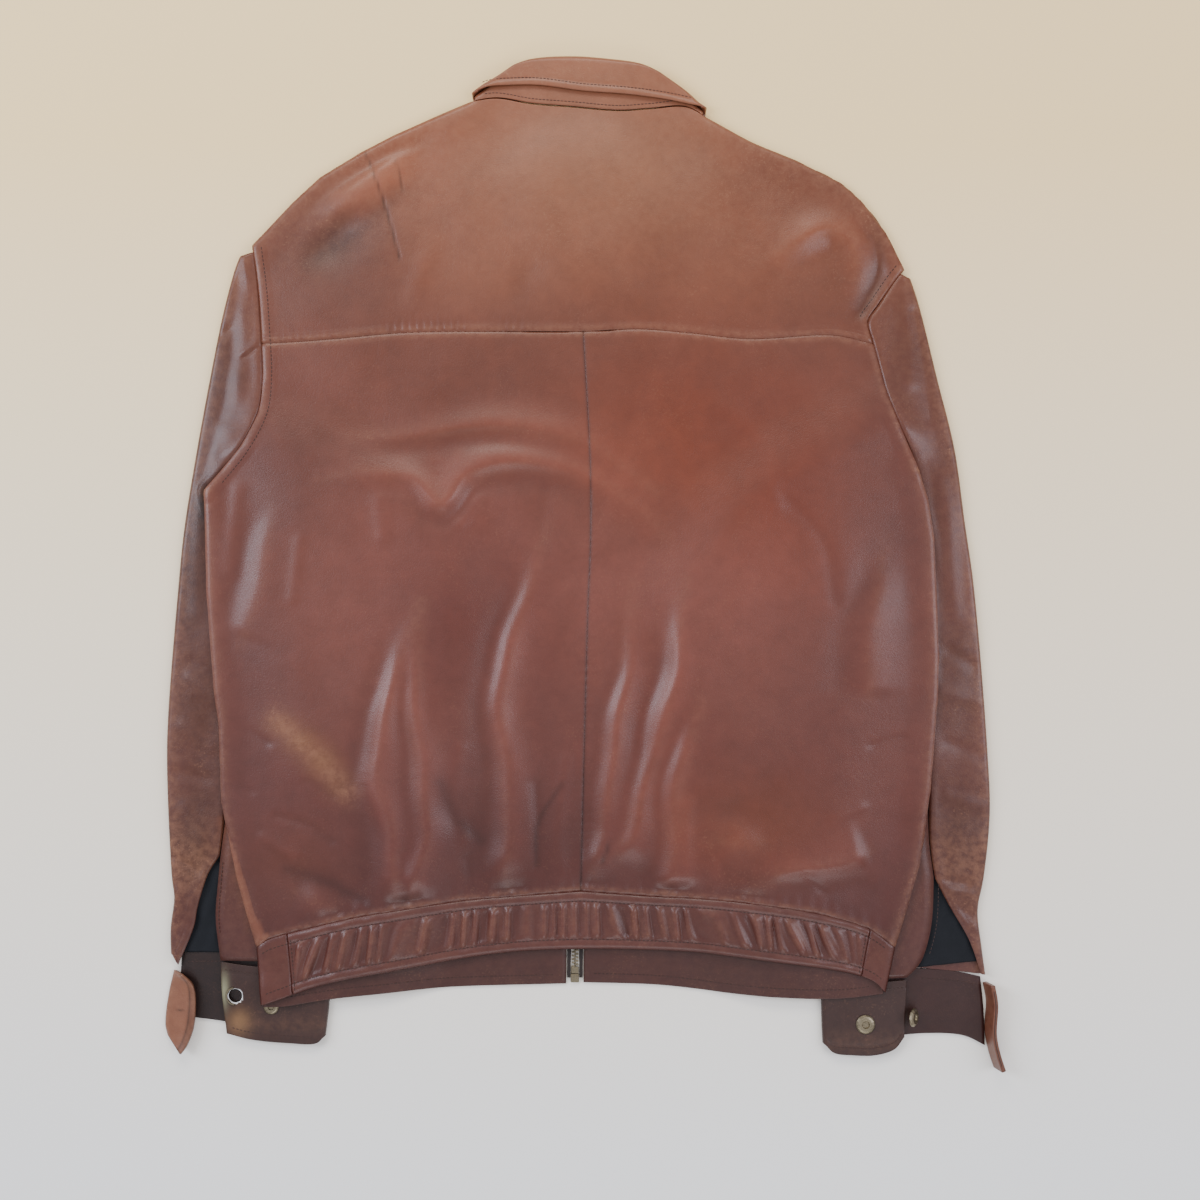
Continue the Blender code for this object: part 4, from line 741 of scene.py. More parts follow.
band_up = np.linspace(0, 1, 42)
band_grids = {}
for name, first, last, cell in (("waistband_end_left", 0.0, END_CUTS[0], 2.0),
                                ("waistband_back", *END_CUTS, 1.25),
                                ("waistband_end_right", END_CUTS[1], 1.0, 2.0)):
    count = int((last - first) * BAND_LENGTH / cell)
    share = np.linspace(first, last, count)
    low, high = along(hem, share), along(seam, share)
    left = low[0] + (high[0] - low[0]) * band_up[:, None]
    right = low[-1] + (high[-1] - low[-1]) * band_up[:, None]
    local = np.linspace(0, 1, count)
    plan = trim(patch(low, high, left, right, local, band_up), 0, SEAM_GAP, HALF_GAP, HALF_GAP)
    x, y = plan[..., 0], plan[..., 1]
    if name == "waistband_back":
        level = gather_level(x, y, local[None, :] + 0 * x, band_up[:, None])
    else:
        dip = np.minimum(local, 1 - local)[None, :] * (last - first) * BAND_LENGTH
        level = band_level(x, y) - 0.8 * bell(dip, 1.3) \
            - 0.6 * bell(band_up[:, None] - 1, 0.03) + 0.5 * np.sin(math.pi * band_up[:, None])
    band_grid = np.dstack([plan, level])
    band_grids[name] = band_grid
    ridge = level - band_level(x, y)
    wear = np.clip(0.08 + 0.14 * ridge, 0, 0.4)
    # Painted light and shade: the gathers' crests are painted paler and their hollows darker, by their height.
    shade = np.clip(1.0 + 0.10 * ridge, 0.7, 1.3)[..., None]
    band = cloth(name + "_leather", band_grid, linear((76, 42, 37)) * shade, wear, BROWN_LEATHER)
    dress(band, name)


# The fronts: two long pieces of leather face down on the surface, and the plain front bands at
# their hems, whose inner faces show below the gathered back band.
FRONT_HEM_LEFT = [(-262, -362), (-248, -362), (-196, -355), (-113, -348), (-14, -345)]
FRONT_HEM_RIGHT = [(0, -344), (61, -346), (129, -353), (207, -356), (246, -352)]
NECK_FRONT_LEFT = [(-5, 297), (-40, 308), (-72, 338), (-92, 380)]
NECK_FRONT_RIGHT = [(101, 367), (74, 332), (44, 308), (9, 297)]
ZIP_EDGE_LEFT = [(-14, -345), (-12, -111), (-7, 135), (-5, 297)]
ZIP_EDGE_RIGHT = [(0, -344), (3, -111), (7, 135), (9, 297)]
DARK_LEATHER = leather("dark_leather", wrinkle=0.7)
front_band_grids = {}
for side, edge, front_hem, zip_edge, shoulder, neck, cap, arm in (
        ("left", SIDE_LEFT, FRONT_HEM_LEFT, ZIP_EDGE_LEFT, SHOULDER_LEFT, NECK_FRONT_LEFT[::-1],
         CAP_SEAM_LEFT, ARMHOLE_LEFT),
        ("right", SIDE_RIGHT, FRONT_HEM_RIGHT, ZIP_EDGE_RIGHT, SHOULDER_RIGHT, NECK_FRONT_RIGHT,
         CAP_SEAM_RIGHT, ARMHOLE_RIGHT)):
    rows = steps(600, 7.0)
    inward = (-0.6 if side == "right" else 0.6, 0.0)
    outer = along(joined(smooth(edge, 120), smooth(arm, 40)[:-1] + inward, smooth(cap, 30)), rows)
    zip_line = smooth(zip_edge, 400)
    seam_y = front_hem[0 if side == "right" else -1][1] + BAND_HEIGHT
    zip_line = along(zip_line[zip_line[:, 1] > seam_y], rows)
    band_seam = smooth(front_hem, 60) + (0, BAND_HEIGHT)
    runs = (smooth(shoulder, 31), smooth(neck, 31)) if side == "left" else (smooth(neck, 31)[::-1],
                                                                          smooth(shoulder, 31))
    across = np.linspace(0, 1, 61)
    roll = np.array([1.2, 3.0]) / 280
    across = np.sort(np.concatenate([across, roll if side == "left" else 1 - roll]))
    top = along(joined(*runs), np.linspace(0, 1, len(across)))
    bottom = along(band_seam, across)
    left, right = (outer, zip_line) if side == "left" else (zip_line, outer)
    bottom[0], bottom[-1] = left[0], right[0]
    top[0], top[-1] = left[-1], right[-1]
    plan = trim(patch(bottom, top, left, right, across, rows), HALF_GAP, SEAM_GAP, HALF_GAP, HALF_GAP)
    grid = raise_grid(plan, front_level)
    x, y = grid[..., 0], grid[..., 1]
    piece = cloth("front_" + side + "_leather", grid, dye_and_painted_light(x, y, 0.9), 0.15, BROWN_LEATHER)
    dress(piece, "front_" + side)
    band_rows = steps(46, 3.0, (True, False))
    low = smooth(front_hem, across)
    start = low[0] + (bottom[0] - low[0]) * band_rows[:, None]
    finish = low[-1] + (bottom[-1] - low[-1]) * band_rows[:, None]
    plan = trim(patch(low, bottom, start, finish, across, band_rows), 0, SEAM_GAP, HALF_GAP, HALF_GAP)
    grid = raise_grid(plan, front_level)
    grid[..., 2] += 0.25 * np.sin(grid[..., 0] / 14) * np.sin(math.pi * band_rows)[:, None]
    piece = cloth("waistband_front_" + side + "_leather", grid, linear((62, 36, 33)), 0.1, DARK_LEATHER)
    dress(piece, "waistband_front_" + side)
    front_band_grids[side] = grid


# The sleeves: tubes of leather pressed flat, each of a cap at the shoulder, an outer piece and an
# under piece, sewn along the back of the arm down to the open slit above the cuff.
SLEEVE_EDGE_LEFT = [(-276, 261), (-283, 251), (-294, 214), (-307, 151), (-320, 79), (-328, 28),
                    (-333, -22), (-341, -123), (-342, -165), (-338, -257), (-336, -273), (-339, -300), (-338, -329)]
SLEEVE_EDGE_RIGHT = [(267, 240), (275, 216), (290, 156), (305, 95), (313, 38), (321, -19), (332, -152),
                     (334, -205), (329, -257), (324, -284), (327, -313), (330, -336)]
BACK_SEAM_LEFT = [(-310, 61), (-303, 37), (-296, 4), (-290, -61), (-288, -127), (-293, -193),
                  (-299, -239)]
BACK_SEAM_RIGHT = [(274, 79), (282, 37), (284, 4), (284, -78), (284, -160), (285, -226),
                   (289, -257)]
SLIT_OUTER_LEFT = [(-299, -239), (-308, -253), (-317, -281), (-320, -297), (-333, -329)]
SLIT_INNER_LEFT = [(-299, -239), (-301, -260), (-303, -290), (-299, -325)]
SLIT_OUTER_RIGHT = [(289, -257), (301, -280), (317, -308), (327, -336)]
SLIT_INNER_RIGHT = [(289, -257), (288, -288), (285, -307), (278, -327), (267, -339)]
UNDER_SEAM_LEFT = [(-303, 70), (-280, 10), (-262, -61), (-256, -180), (-262, -317)]
UNDER_SEAM_RIGHT = [(268, 84), (252, 20), (243, -61), (240, -180), (255, -330)]
SLEEVE_ROLL = 3.0
CUFF_SLOPE = {"left": 1.2, "right": 7.0}
SLEEVE_CREASES = [
    (-0.9, 1.3, [(-265, 181), (-272, 175.5), (-279, 170.6)]),
    (0.7, 2.2, [(-267, 184), (-279, 174)]),
    (0.9, 7, [(-278, 254), (-274, 233), (-278, 214), (-280, 188), (-281, 173), (-286, 136), (-293, 114),
              (-297, 90)]),
    (-0.5, 5, [(-284, 236), (-286, 200), (-290, 160), (-297, 120)]),
    (-0.8, 3, [(-299, 188), (-291, 194)]),
    (0.8, 7, [(-312, 60), (-316, 10), (-318, -40)]),
    (-0.8, 3.5, [(-322, -78), (-300, -92)]), (0.9, 4, [(-324, -92), (-302, -108)]),
    (-0.8, 3.5, [(-318, -112), (-298, -128)]), (0.8, 5, [(-330, -132), (-306, -150)]),
    (-0.7, 4, [(-334, -170), (-308, -176)]), (0.9, 6, [(-328, -200), (-312, -232)]),
    (-0.7, 3, [(-336, -240), (-316, -252)]), (0.7, 4, [(-334, -268), (-322, -290)]),
    (0.9, 6, [(262, 228), (268, 190), (270, 150)]), (-0.9, 5, [(272, 208), (280, 160), (286, 120)]),
    (0.8, 7, [(296, 70), (302, 20), (306, -40)]), (-0.7, 4, [(300, -70), (322, -84)]),
    (0.8, 5, [(296, -104), (324, -112)]), (-0.7, 4, [(300, -146), (326, -156)]),
    (0.7, 5, [(300, -190), (326, -198)]), (-0.8, 3, [(289, -258), (316, -262)]),
    (0.8, 3, [(296, -266), (318, -270)]), (-0.6, 3, [(303, -280), (322, -288)]),
    (0.6, 3, [(306, -290), (324, -300)]),
]
# Sleeve colours as soft patches: place, size, colour and strength. Painted shade: the patches at (-300, 150) and
# (-322, 0) darken the left sleeve's rolled side, and the one at (-313, 48) is a painted shadow along the body's
# edge.
SLEEVE_PATCHES = [
    (-300, 150, 30, 90, (60, 30, 20), 0.8), (-322, 0, 26, 110, (46, 24, 17), 0.85),
    (-318, -120, 30, 60, (62, 34, 25), 0.7), (-318, -220, 30, 50, (56, 32, 23), 0.7),
    (-322, -245, 16, 20, (81, 51, 35), 0.5), (275, 180, 30, 60, (77, 39, 26), 0.7),
    (300, 60, 30, 90, (68, 35, 26), 0.7), (312, -80, 30, 90, (62, 33, 25), 0.7),
    (310, -220, 34, 60, (59, 31, 23), 0.7), (308, -270, 24, 24, (71, 39, 28), 0.4),
    (-313, 48, 7, 20, (24, 14, 12), 0.9), (-288, 52, 12, 12, (40, 24, 20), 0.5),
]


def x_at(points, y):
    line = smooth(points, 200)
    order = np.argsort(line[:, 1])
    return np.interp(y, line[order, 1], line[order, 0])


def fold_steps(start, fold, level, flat, middle, count):
    """Points from an inner edge out to a fold, level with the layer and then round the fold."""
    width = np.hypot(*(fold - start))
    reach = min(SLEEVE_ROLL, 0.4 * width)
    share = np.append(np.linspace(0, 1 - reach / width, count + 1),
                      1 - reach * np.array([0.8, 0.55, 0.3, 0.12, 0.03]) / width)
    height = level + (flat - level) * ease(share / 0.7)
    turned = np.sqrt(1 - (1 - np.clip((1 - share) * width / reach, 0, 1)) ** 2)
    height = middle + (height - middle) * turned
    plan = start + (fold - start) * share[:, None]
    return np.vstack([np.column_stack([plan, height]), [[*fold, middle]]])


def sleeve_rows(upper, edge, lower, upper_level, lower_level, count):
    """Rows that run over the top of a flat tube, round its folded edge and back below."""
    middle = (SLEEVE_TOP_LEVEL + FLOOR_LEVEL) / 2
    rows = []
    for start, fold, finish, high, low in zip(upper, edge, lower, upper_level, lower_level):
        over = fold_steps(start, fold, high, SLEEVE_TOP_LEVEL, middle, count)
        under = fold_steps(finish, fold, low, FLOOR_LEVEL, middle, count)
        rows.append(np.vstack([over, under[-2::-1]]))
    return np.array(rows)


def creased(grid, inner_line):
    """Creases and a sunk seam edge on a sleeve's upper layer only."""
    grid = grid.copy()
    x, y = grid[..., 0], grid[..., 1]
    upper = np.arange(grid.shape[1]) < grid.shape[1] // 2
    share = np.where(upper, ease((grid[..., 2] - 3.5) / 2), 0)
    relief = sum(soft_line(x, y, *crease) for crease in SLEEVE_CREASES)
    relief = relief + 0.4 * np.sin(y / 13 + np.sin(x / 9)) * np.sin(x / 11 + y / 29)
    near = line_distance(x, y, inner_line)
    relief = relief * ease(near / 8) - 0.8 * bell(near, 1.3) \
        + 0.35 * (1 - ease((near - 7) / 2)) - 0.3 * bell(near - 6.4, 0.9)
    grid[..., 2] += relief * share
    return grid


def sleeve_wear(x, y, edge):
    rim = line_distance(x, y, edge)
    return np.clip(0.2 + 0.5 * bell(rim, 7) + 0.5 * bell(y + 245, 26), 0, 1)


sleeve_grids = {}
for side, sign, edge, arm, cap, back_seam, slit_out, slit_in, inner, under in (
        ("left", -1, SLEEVE_EDGE_LEFT, ARMHOLE_LEFT, CAP_SEAM_LEFT, BACK_SEAM_LEFT, SLIT_OUTER_LEFT,
         SLIT_INNER_LEFT, INNER_FOLD_LEFT, UNDER_SEAM_LEFT),
        ("right", 1, SLEEVE_EDGE_RIGHT, ARMHOLE_RIGHT, CAP_SEAM_RIGHT, BACK_SEAM_RIGHT, SLIT_OUTER_RIGHT,
         SLIT_INNER_RIGHT, INNER_FOLD_RIGHT, UNDER_SEAM_RIGHT)):
    out = np.array([sign * SEAM_GAP, 0.0])
    cap_line = along(smooth(cap, 60), np.linspace(0.93, 0, 34)) + out
    edge_y = cap_line[:, 1] - np.linspace(4, 14, len(cap_line))
    fold = np.stack([x_at(edge, edge_y), edge_y], axis=1)
    cap_rows = sleeve_rows(cap_line, fold, cap_line, back_level(*cap_line.T),
                           front_level(*cap_line.T), 16)

    seam_line = joined(smooth(arm, 60)[::-1], smooth(back_seam, 120), smooth(slit_out, 50))
    arm_part, all_part = run_length(smooth(arm, 60))[-1], run_length(seam_line)[-1]
    seam_line = along(seam_line, steps(all_part, 3.4)) + out
    place = run_length(seam_line)
    tilt = 14 * ease(1 - place / (arm_part * 3 / 7))
    apex = slit_out[0][1]
    shrink = (apex - under[-1][1]) / (apex - slit_out[-1][1])
    end_y = np.where(seam_line[:, 1] < apex, apex + (seam_line[:, 1] - apex) * shrink, seam_line[:, 1])
    cuff_slope = CUFF_SLOPE[side] * ease(1 - (end_y - end_y[-1]) / 60)
    edge_y = end_y - tilt - cuff_slope
    fold = np.stack([x_at(edge, edge_y), edge_y], axis=1)
    below = np.stack([x_at(under, end_y) + 2 * out[0], end_y], axis=1)
    below = np.where(seam_line[:, 1:] >= arm[0][1], seam_line, below)
    drop = ease((arm[0][1] + 34 - seam_line[:, 1]) / 30)
    high = back_level(*seam_line.T) * (1 - drop) + SLEEVE_TOP_LEVEL * drop
    low = front_level(*seam_line.T) * (1 - drop) + FLOOR_LEVEL * drop
    rows = sleeve_rows(seam_line, fold, below, high, low, 16)
    inner_line = np.vstack([cap_line, seam_line])
    grid = creased(np.vstack([cap_rows, rows[1:]]), inner_line)
    x, y = grid[..., 0], grid[..., 1]
    # The sleeve's colour carries the painted shade and shadow of its patches.
    colour, wear = patched(dye_and_painted_light(x, y), x, y, SLEEVE_PATCHES), sleeve_wear(x, y, edge)
    flip = slice(None, None, -1 if sign > 0 else 1)
    piece = cloth("sleeve_top_" + side + "_leather", grid[:, flip], colour[:, flip], wear[:, flip],
                  BROWN_LEATHER)
    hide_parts("sleeve_cap_" + side)
    dress(piece, "sleeve_top_" + side)
    sleeve_grids["top_" + side] = grid

    share = np.linspace(0.07, 1, 90)
    seam_line = along(joined(smooth(back_seam, 60), smooth(slit_in, 20)), share) - out * 3
    fold = along(smooth(inner, 80), share)
    below = along(smooth(under, 80), share) - out * 3
    flat = np.ones(len(seam_line))
    grid = sleeve_rows(seam_line, fold, below, SLEEVE_TOP_LEVEL * flat, FLOOR_LEVEL * flat, 14)
    x, y = grid[..., 0], grid[..., 1]
    flip = slice(None, None, -1 if sign < 0 else 1)
    # The sleeve's colour carries the painted shade and shadow of its patches.
    colour = patched(dye_and_painted_light(x, y), x, y, SLEEVE_PATCHES)
    piece = cloth("sleeve_under_" + side + "_leather", grid[:, flip], colour[:, flip], 0.15,
                  BROWN_LEATHER)
    dress(piece, "sleeve_under_" + side)
    sleeve_grids["under_" + side] = grid


# The sleeve linings: thin navy satin, only where the open slits above the cuffs show it, lying
# crumpled on the inner face of the sleeve.
def lining_cloth():
    material, nodes, links, shader = new_material("navy_lining")
    tree = (nodes, links)
    place = nodes.new("ShaderNodeUVMap")
    place.uv_map = "Cloth"
    along_cloth = {"Vector": place.outputs["UV"]}
    weave = add_node(tree, "TexWave", "Fac", {"Scale": 420, "Distortion": 0.6}, along_cloth)
    blotch = add_node(tree, "TexNoise", "Fac", {"Scale": 60}, along_cloth)
    links.new(two_tones(tree, blotch, (0.003, 0.004, 0.006), (0.008, 0.009, 0.013)),
              shader.inputs["Base Color"])
    links.new(add_node(tree, "Bump", "Normal", {"Strength": 0.35, "Distance": 0.0002}, {"Height": weave}),
              shader.inputs["Normal"])
    shader.inputs["Roughness"].default_value = 0.62
    shader.inputs["Specular IOR Level"].default_value = 0.22
    return material


NAVY_LINING = lining_cloth()
LINING_WALL = 0.4
for side, sign, slit_out, slit_in in (("left", -1, SLIT_OUTER_LEFT, SLIT_INNER_LEFT),
                                      ("right", 1, SLIT_OUTER_RIGHT, SLIT_INNER_RIGHT)):
    out = np.array([sign * SEAM_GAP, 0.0])
    down = np.linspace(0, 1, 60)
    outer = along(smooth(slit_out, 40), down * 0.95) + out * 5 + (0, 6)
    inner_line = along(smooth(slit_in, 40), down) - out * 20 + (0, 6)
    for line in (outer, inner_line):
        floor_line = np.interp(line[:, 0], *((-331, -297), (-321.5, -321)) if side == "left"
                               else ((255, 278, 308, 327.5), (-334, -335, -337.5, -341.5)))
        line[:, 1] = np.maximum(line[:, 1], floor_line)
    across = np.linspace(0, 1, 34)[None, :, None]
    plan = outer[:, None] + (inner_line - outer)[:, None] * across
    x, y = plan[..., 0], plan[..., 1]
    swell = 0.55 + 0.3 * np.sin(x / 3.4 + y / 9) + 0.25 * np.sin(x / 2.1 - y / 6 + 1)
    level = 2 * FLOOR_LEVEL + SEAM_GAP + 0.4 + np.clip(swell, 0, 1.2)
    grid = np.dstack([plan, level])
    piece = cloth("sleeve_lining_" + side + "_satin", grid[:, ::-1] if sign < 0 else grid,
                  (0.02, 0.02, 0.03), 0, NAVY_LINING, LINING_WALL)
    dress(piece, "sleeve_lining_" + side)


# The cuffs: stiff leather bands, open, each lying on the surface and folded back over itself up
# to the slit, with one loose end.
CUFF_LEFT = {
    "upper_seam": [(-298, -326), (-266, -330), (-209, -330)],
    "upper_hem": [(-293, -385), (-273, -390), (-243, -393), (-219, -393), (-213, -387)],
    "slit": [(-293, -385), (-297, -350), (-298, -326)],
    "fold": [(-213, -387), (-210, -360), (-209, -330)],
    "lower_seam": [(-331, -319), (-297, -318.5), (-262, -318.5), (-209, -330)],
    "lower_hem": [(-336.4, -371), (-297, -376), (-250, -384), (-213, -387)],
    "end": [(-336.4, -371), (-336.4, -356), (-332.6, -340), (-331, -319)],
}
CUFF_RIGHT = {
    "upper_seam": [(266, -341), (240, -343), (197, -345)],
    "upper_hem": [(264, -388), (256, -398), (240, -403), (222, -403), (206, -401), (198, -393)],
    "slit": [(264, -388), (265, -365), (266, -341)],
    "fold": [(198, -393), (197, -370), (197, -345)],
    "lower_seam": [(327.5, -339), (308, -335), (278, -332.5), (255, -331.5), (197, -345)],
    "lower_hem": [(331.3, -396), (314, -388), (284, -386), (240, -390), (198, -393)],
    "end": [(331.3, -396), (330.3, -368), (327.5, -339)],
}
TORN_HOLE = (-286.0, -354.0)
TORN_HOLE_RADIUS = 5.8
cuff_grids = {}
for side, cuff in (("left", CUFF_LEFT), ("right", CUFF_RIGHT)):
    across = np.append(np.linspace(0, 0.955, 44), [0.965, 0.975, 0.983, 0.99, 0.995, 1.0])
    up = steps(60, 2.2)
    middle = (SLEEVE_TOP_LEVEL + FLOOR_LEVEL) / 2
    layers = []
    for layer, end, level in (("upper", "slit", SLEEVE_TOP_LEVEL), ("lower", "end", FLOOR_LEVEL)):
        plan = patch(smooth(cuff[layer + "_hem"], across), smooth(cuff[layer + "_seam"], across),
                     smooth(cuff[end], up), smooth(cuff["fold"], up), across, up)
        width = np.linalg.norm(plan[:, -1] - plan[:, 0], axis=-1)[:, None]
        near = (1 - across)[None, :] * width
        turned = np.sqrt(1 - (1 - np.clip(near / SLEEVE_ROLL, 0, 1)) ** 2)
        height = middle + (level - middle) * turned
        if layer == "upper":
            v = up[:, None]
            x, y = plan[..., 0], plan[..., 1]
            height = height + (0.3 * np.sin(x / 12) * np.sin(math.pi * v) - 0.25 * bell(v - 0.13, 0.02)
                               - 0.25 * bell(v - 0.87, 0.02)) * turned
        layers.append(np.dstack([plan, height]))
    strip = np.concatenate([layers[0], layers[1][:, -2::-1]], axis=1)
    grid = trim(strip, top=SEAM_GAP)
    x, y = grid[..., 0], grid[..., 1]
    rub = bell(y - (-378 if side == "left" else -392), 9) * (grid[..., 2] > 4)
    base = linear((53, 36, 33)) * np.ones(x.shape + (1,))
    if side == "left":
        base = patched(base, x, y, [(-283, -375, 9, 10, (128, 96, 66), 0.8),
                                    (-295, -350, 3.5, 13, (146, 146, 116), 0.75)])
    low_layer = (grid[..., 2] < 3)[..., None]
    base = np.where(low_layer, linear((38, 27, 26) if side == "left" else (50, 29, 27)), base)
    flip = slice(None, None, 1 if side == "left" else -1)
    piece = cloth("cuff_" + side + "_leather", grid[:, flip], base[:, flip], (0.04 + 0.2 * rub)[:, flip],
                  DARK_LEATHER)
    if side == "left":
        place = (np.array([*TORN_HOLE, SLEEVE_TOP_LEVEL]) + (*FRAME_SHIFT, 0)) * MM
        bpy.ops.mesh.primitive_cylinder_add(vertices=40, radius=TORN_HOLE_RADIUS * MM, depth=4 * MM,
                                            location=tuple(place))
        cutter = bpy.context.object
        bpy.context.view_layer.objects.active = piece
        hole = piece.modifiers.new("Torn hole", "BOOLEAN")
        hole.object, hole.operation = cutter, "DIFFERENCE"
        bpy.ops.object.modifier_apply(modifier=hole.name)
        bpy.data.objects.remove(cutter, do_unlink=True)
    dress(piece, "cuff_" + side)
    cuff_grids[side] = grid


# The cuffs' loose ends: doubled leather tabs with a buttonhole slot, which on the left tab is a
# painted dark spot of shade. The left one lies tilted with its tan side up, and the right one
# stands on its edge.
TAB_LEFT_OUTER = [(-342, -387), (-344, -378), (-341, -352), (-336.5, -334)]
TAB_LEFT_INNER = [(-330, -401), (-325, -394), (-319, -376), (-320, -345), (-329, -336)]
TAB_RIGHT_LINE = [(333, -344), (335.5, -359), (334.5, -384), (337.5, -400), (342, -414)]
TAB_RIGHT_HEIGHT = 16.0
up = np.linspace(0, 1, 48)
across = np.linspace(0, 1, 22)
outer, inner = smooth(TAB_LEFT_OUTER, up), smooth(TAB_LEFT_INNER, up)
plan = outer[:, None] + (inner - outer)[:, None] * across[None, :, None]
level = 1.4 + 9.0 * across[None, :] ** 0.8 + 0.25 * np.sin(plan[..., 1] / 5) * across
grid = np.dstack([plan, level])
rim = np.minimum(across, 1 - across)[None, :] + 0 * level
edge_line = bell(across - 0.8, 0.035)[None, :, None] * np.ones(level.shape + (1,))
tab_colour = linear((118, 76, 58)) * (1 - 0.7 * edge_line) * (1 - 0.35 * (across > 0.83))[None, :, None]
# Painted shade: the buttonhole slot is a dark spot on the colour, not an opening.
hole = spot(plan[..., 0], plan[..., 1], -330.6, -365.7, 3.4, 0.9)
tab = cloth("cuff_tab_left_leather", grid, tab_colour * (1 - 0.75 * hole),
            0.3 + 0.5 * bell(rim, 0.12), BROWN_LEATHER, 2.4)
dress(tab, "cuff_tab_left")
tab_right = smooth(TAB_RIGHT_LINE, 50)
height = np.linspace(0.7, TAB_RIGHT_HEIGHT, 16)
lean = (height / TAB_RIGHT_HEIGHT - 0.5) * 3.6
grid = np.array([[[x + bend, y, z] for bend, z in zip(lean, height)] for x, y in tab_right])
tab_colour = linear((92, 54, 42)) * np.ones(grid.shape[:2] + (1,))
tab = cloth("cuff_tab_right_leather", grid[::-1], tab_colour, 0.5, BROWN_LEATHER, 3.4)
dress(tab, "cuff_tab_right")


# The collar: a stand sewn round the neck and closed flat, with a fall turned down over its
# outside, so that a roll of leather lies along the top of the jacket.
STAND = {
    "crease_left": [(-89, 384), (-83, 389), (-77, 392.5)],
    "crease_right": [(98.5, 371.5), (94, 375.5), (88, 380)],
    "top_back": [(-77, 392.5), (-55, 405), (-42, 410), (-8, 412.5), (20, 410.5), (46, 406.5), (66, 396),
                 (88, 380)],
    "top_left": [(-77, 392.5), (-56, 366), (-28, 342), (-5, 334)],
    "top_right": [(88, 380), (66, 360), (36, 342), (9, 334)],
}
FALL = {
    "crease_left": [(-91, 386.5), (-84, 392), (-71, 400), (-58, 409)],
    "crease_right": [(101, 374.5), (96, 378), (85, 388), (63, 403)],
    "top_back": [(-58, 409), (-42, 414), (-8, 416), (20, 414), (47, 410), (63, 403)],
    "top_left": [(-58, 409), (-49, 372), (-26, 345), (-5, 338)],
    "top_right": [(63, 403), (60, 368), (35, 344), (9, 338)],
    "edge_back": [(-91, 386.5), (-78, 392), (-66, 393), (-39, 393), (-1, 388), (39, 385), (71, 381),
                  (101, 374.5)],
    "edge_left": [(-91, 386.5), (-84, 318), (-48, 276), (-24, 270)],
    "edge_right": [(101, 374.5), (94, 312), (56, 274), (30, 270)],
}
FALL_RISE = 3.4


def half_roll(distance, reach):
    return np.sqrt(1 - (1 - np.clip(distance / reach, 0, 1)) ** 2)


def collar_part(lower, upper, start, finish, ends, rows):
    length = run_length(lower)[-1]
    near = np.array([0.3, 0.8, 1.6, 2.6, 4.0, 5.6]) / length
    share = list(np.linspace(0, 1, 60))
    share += list(near) if ends[0] else []
    share += list(1 - near) if ends[1] else []
    share = np.array(sorted(share))
    plan = patch(along(lower, share), along(smooth(upper, 60), share), start, finish, share, rows)
    crease = np.full(plan.shape[:2], 1e3)
    for edge in [0] * ends[0] + [-1] * ends[1]:
        crease = np.minimum(crease, np.linalg.norm(plan - plan[:, edge][:, None], axis=-1))
    return plan, crease


def stand_side(plan, crease, way):
    x, y = plan[..., 0], plan[..., 1]
    level = body_middle(x, y) + way * body_spread(x, y) / 2 * half_roll(crease, EDGE_ROLL)
    return np.dstack([plan, level])


def fall_side(plan, crease, way):
    x, y = plan[..., 0], plan[..., 1]
    top = np.linalg.norm(plan - plan[-1:], axis=-1)
    fold = 1 - half_roll(top, 3.4)
    high = body_middle(x, y) + body_spread(x, y) / 2 + FALL_RISE
    level = high - 3.2 * fold if way > 0 else FLOOR_LEVEL + 0 * fold
    middle = (high + FLOOR_LEVEL) / 2
    if way > 0:
        low_edge = np.linalg.norm(plan - plan[:1], axis=-1)
        level = level + 0.5 * bell(low_edge - 3, 2.5) - 0.35 * bell(low_edge - 6, 1.0)
    return np.dstack([plan, middle + (level - middle) * half_roll(crease, 5.0)])


def collar_strip(shape, back_line, front_lines, rows, lay):
    """The back part of a collar piece, with both its front parts joined on at the creases."""
    creases = [smooth(shape["crease_left"], rows), smooth(shape["crease_right"], rows)]
    parts = [lay(*collar_part(back_line, shape["top_back"], *creases, (True, True), rows), 1)]
    for low_line, top, edge in zip(front_lines, (shape["top_left"], shape["top_right"]), creases):
        zip_end = low_line[-1] + (np.array(top[-1]) - low_line[-1]) * rows[:, None]
        parts.append(lay(*collar_part(low_line, top, edge, zip_end, (True, False), rows), -1))
    return np.concatenate([parts[1][:, :0:-1], parts[0], parts[2][:, 1:]], axis=1)


neck = smooth(NECK_BACK, 80)
neck[0], neck[-1] = STAND["crease_left"][0], STAND["crease_right"][0]
fronts = [smooth(NECK_FRONT_LEFT[::-1], 40), smooth(NECK_FRONT_RIGHT, 40)]
fronts[0][0], fronts[1][0] = neck[0], neck[-1]
strip = collar_strip(STAND, neck, fronts, np.linspace(0, 1, 16), stand_side)
stand_grid = trim(strip, bottom=4 * SEAM_GAP)
x, y = stand_grid[..., 0], stand_grid[..., 1]
stand = cloth("collar_stand_leather", stand_grid, dye_and_painted_light(x, y, 0.92), 0.3, BROWN_LEATHER)
dress(stand, "collar_stand")

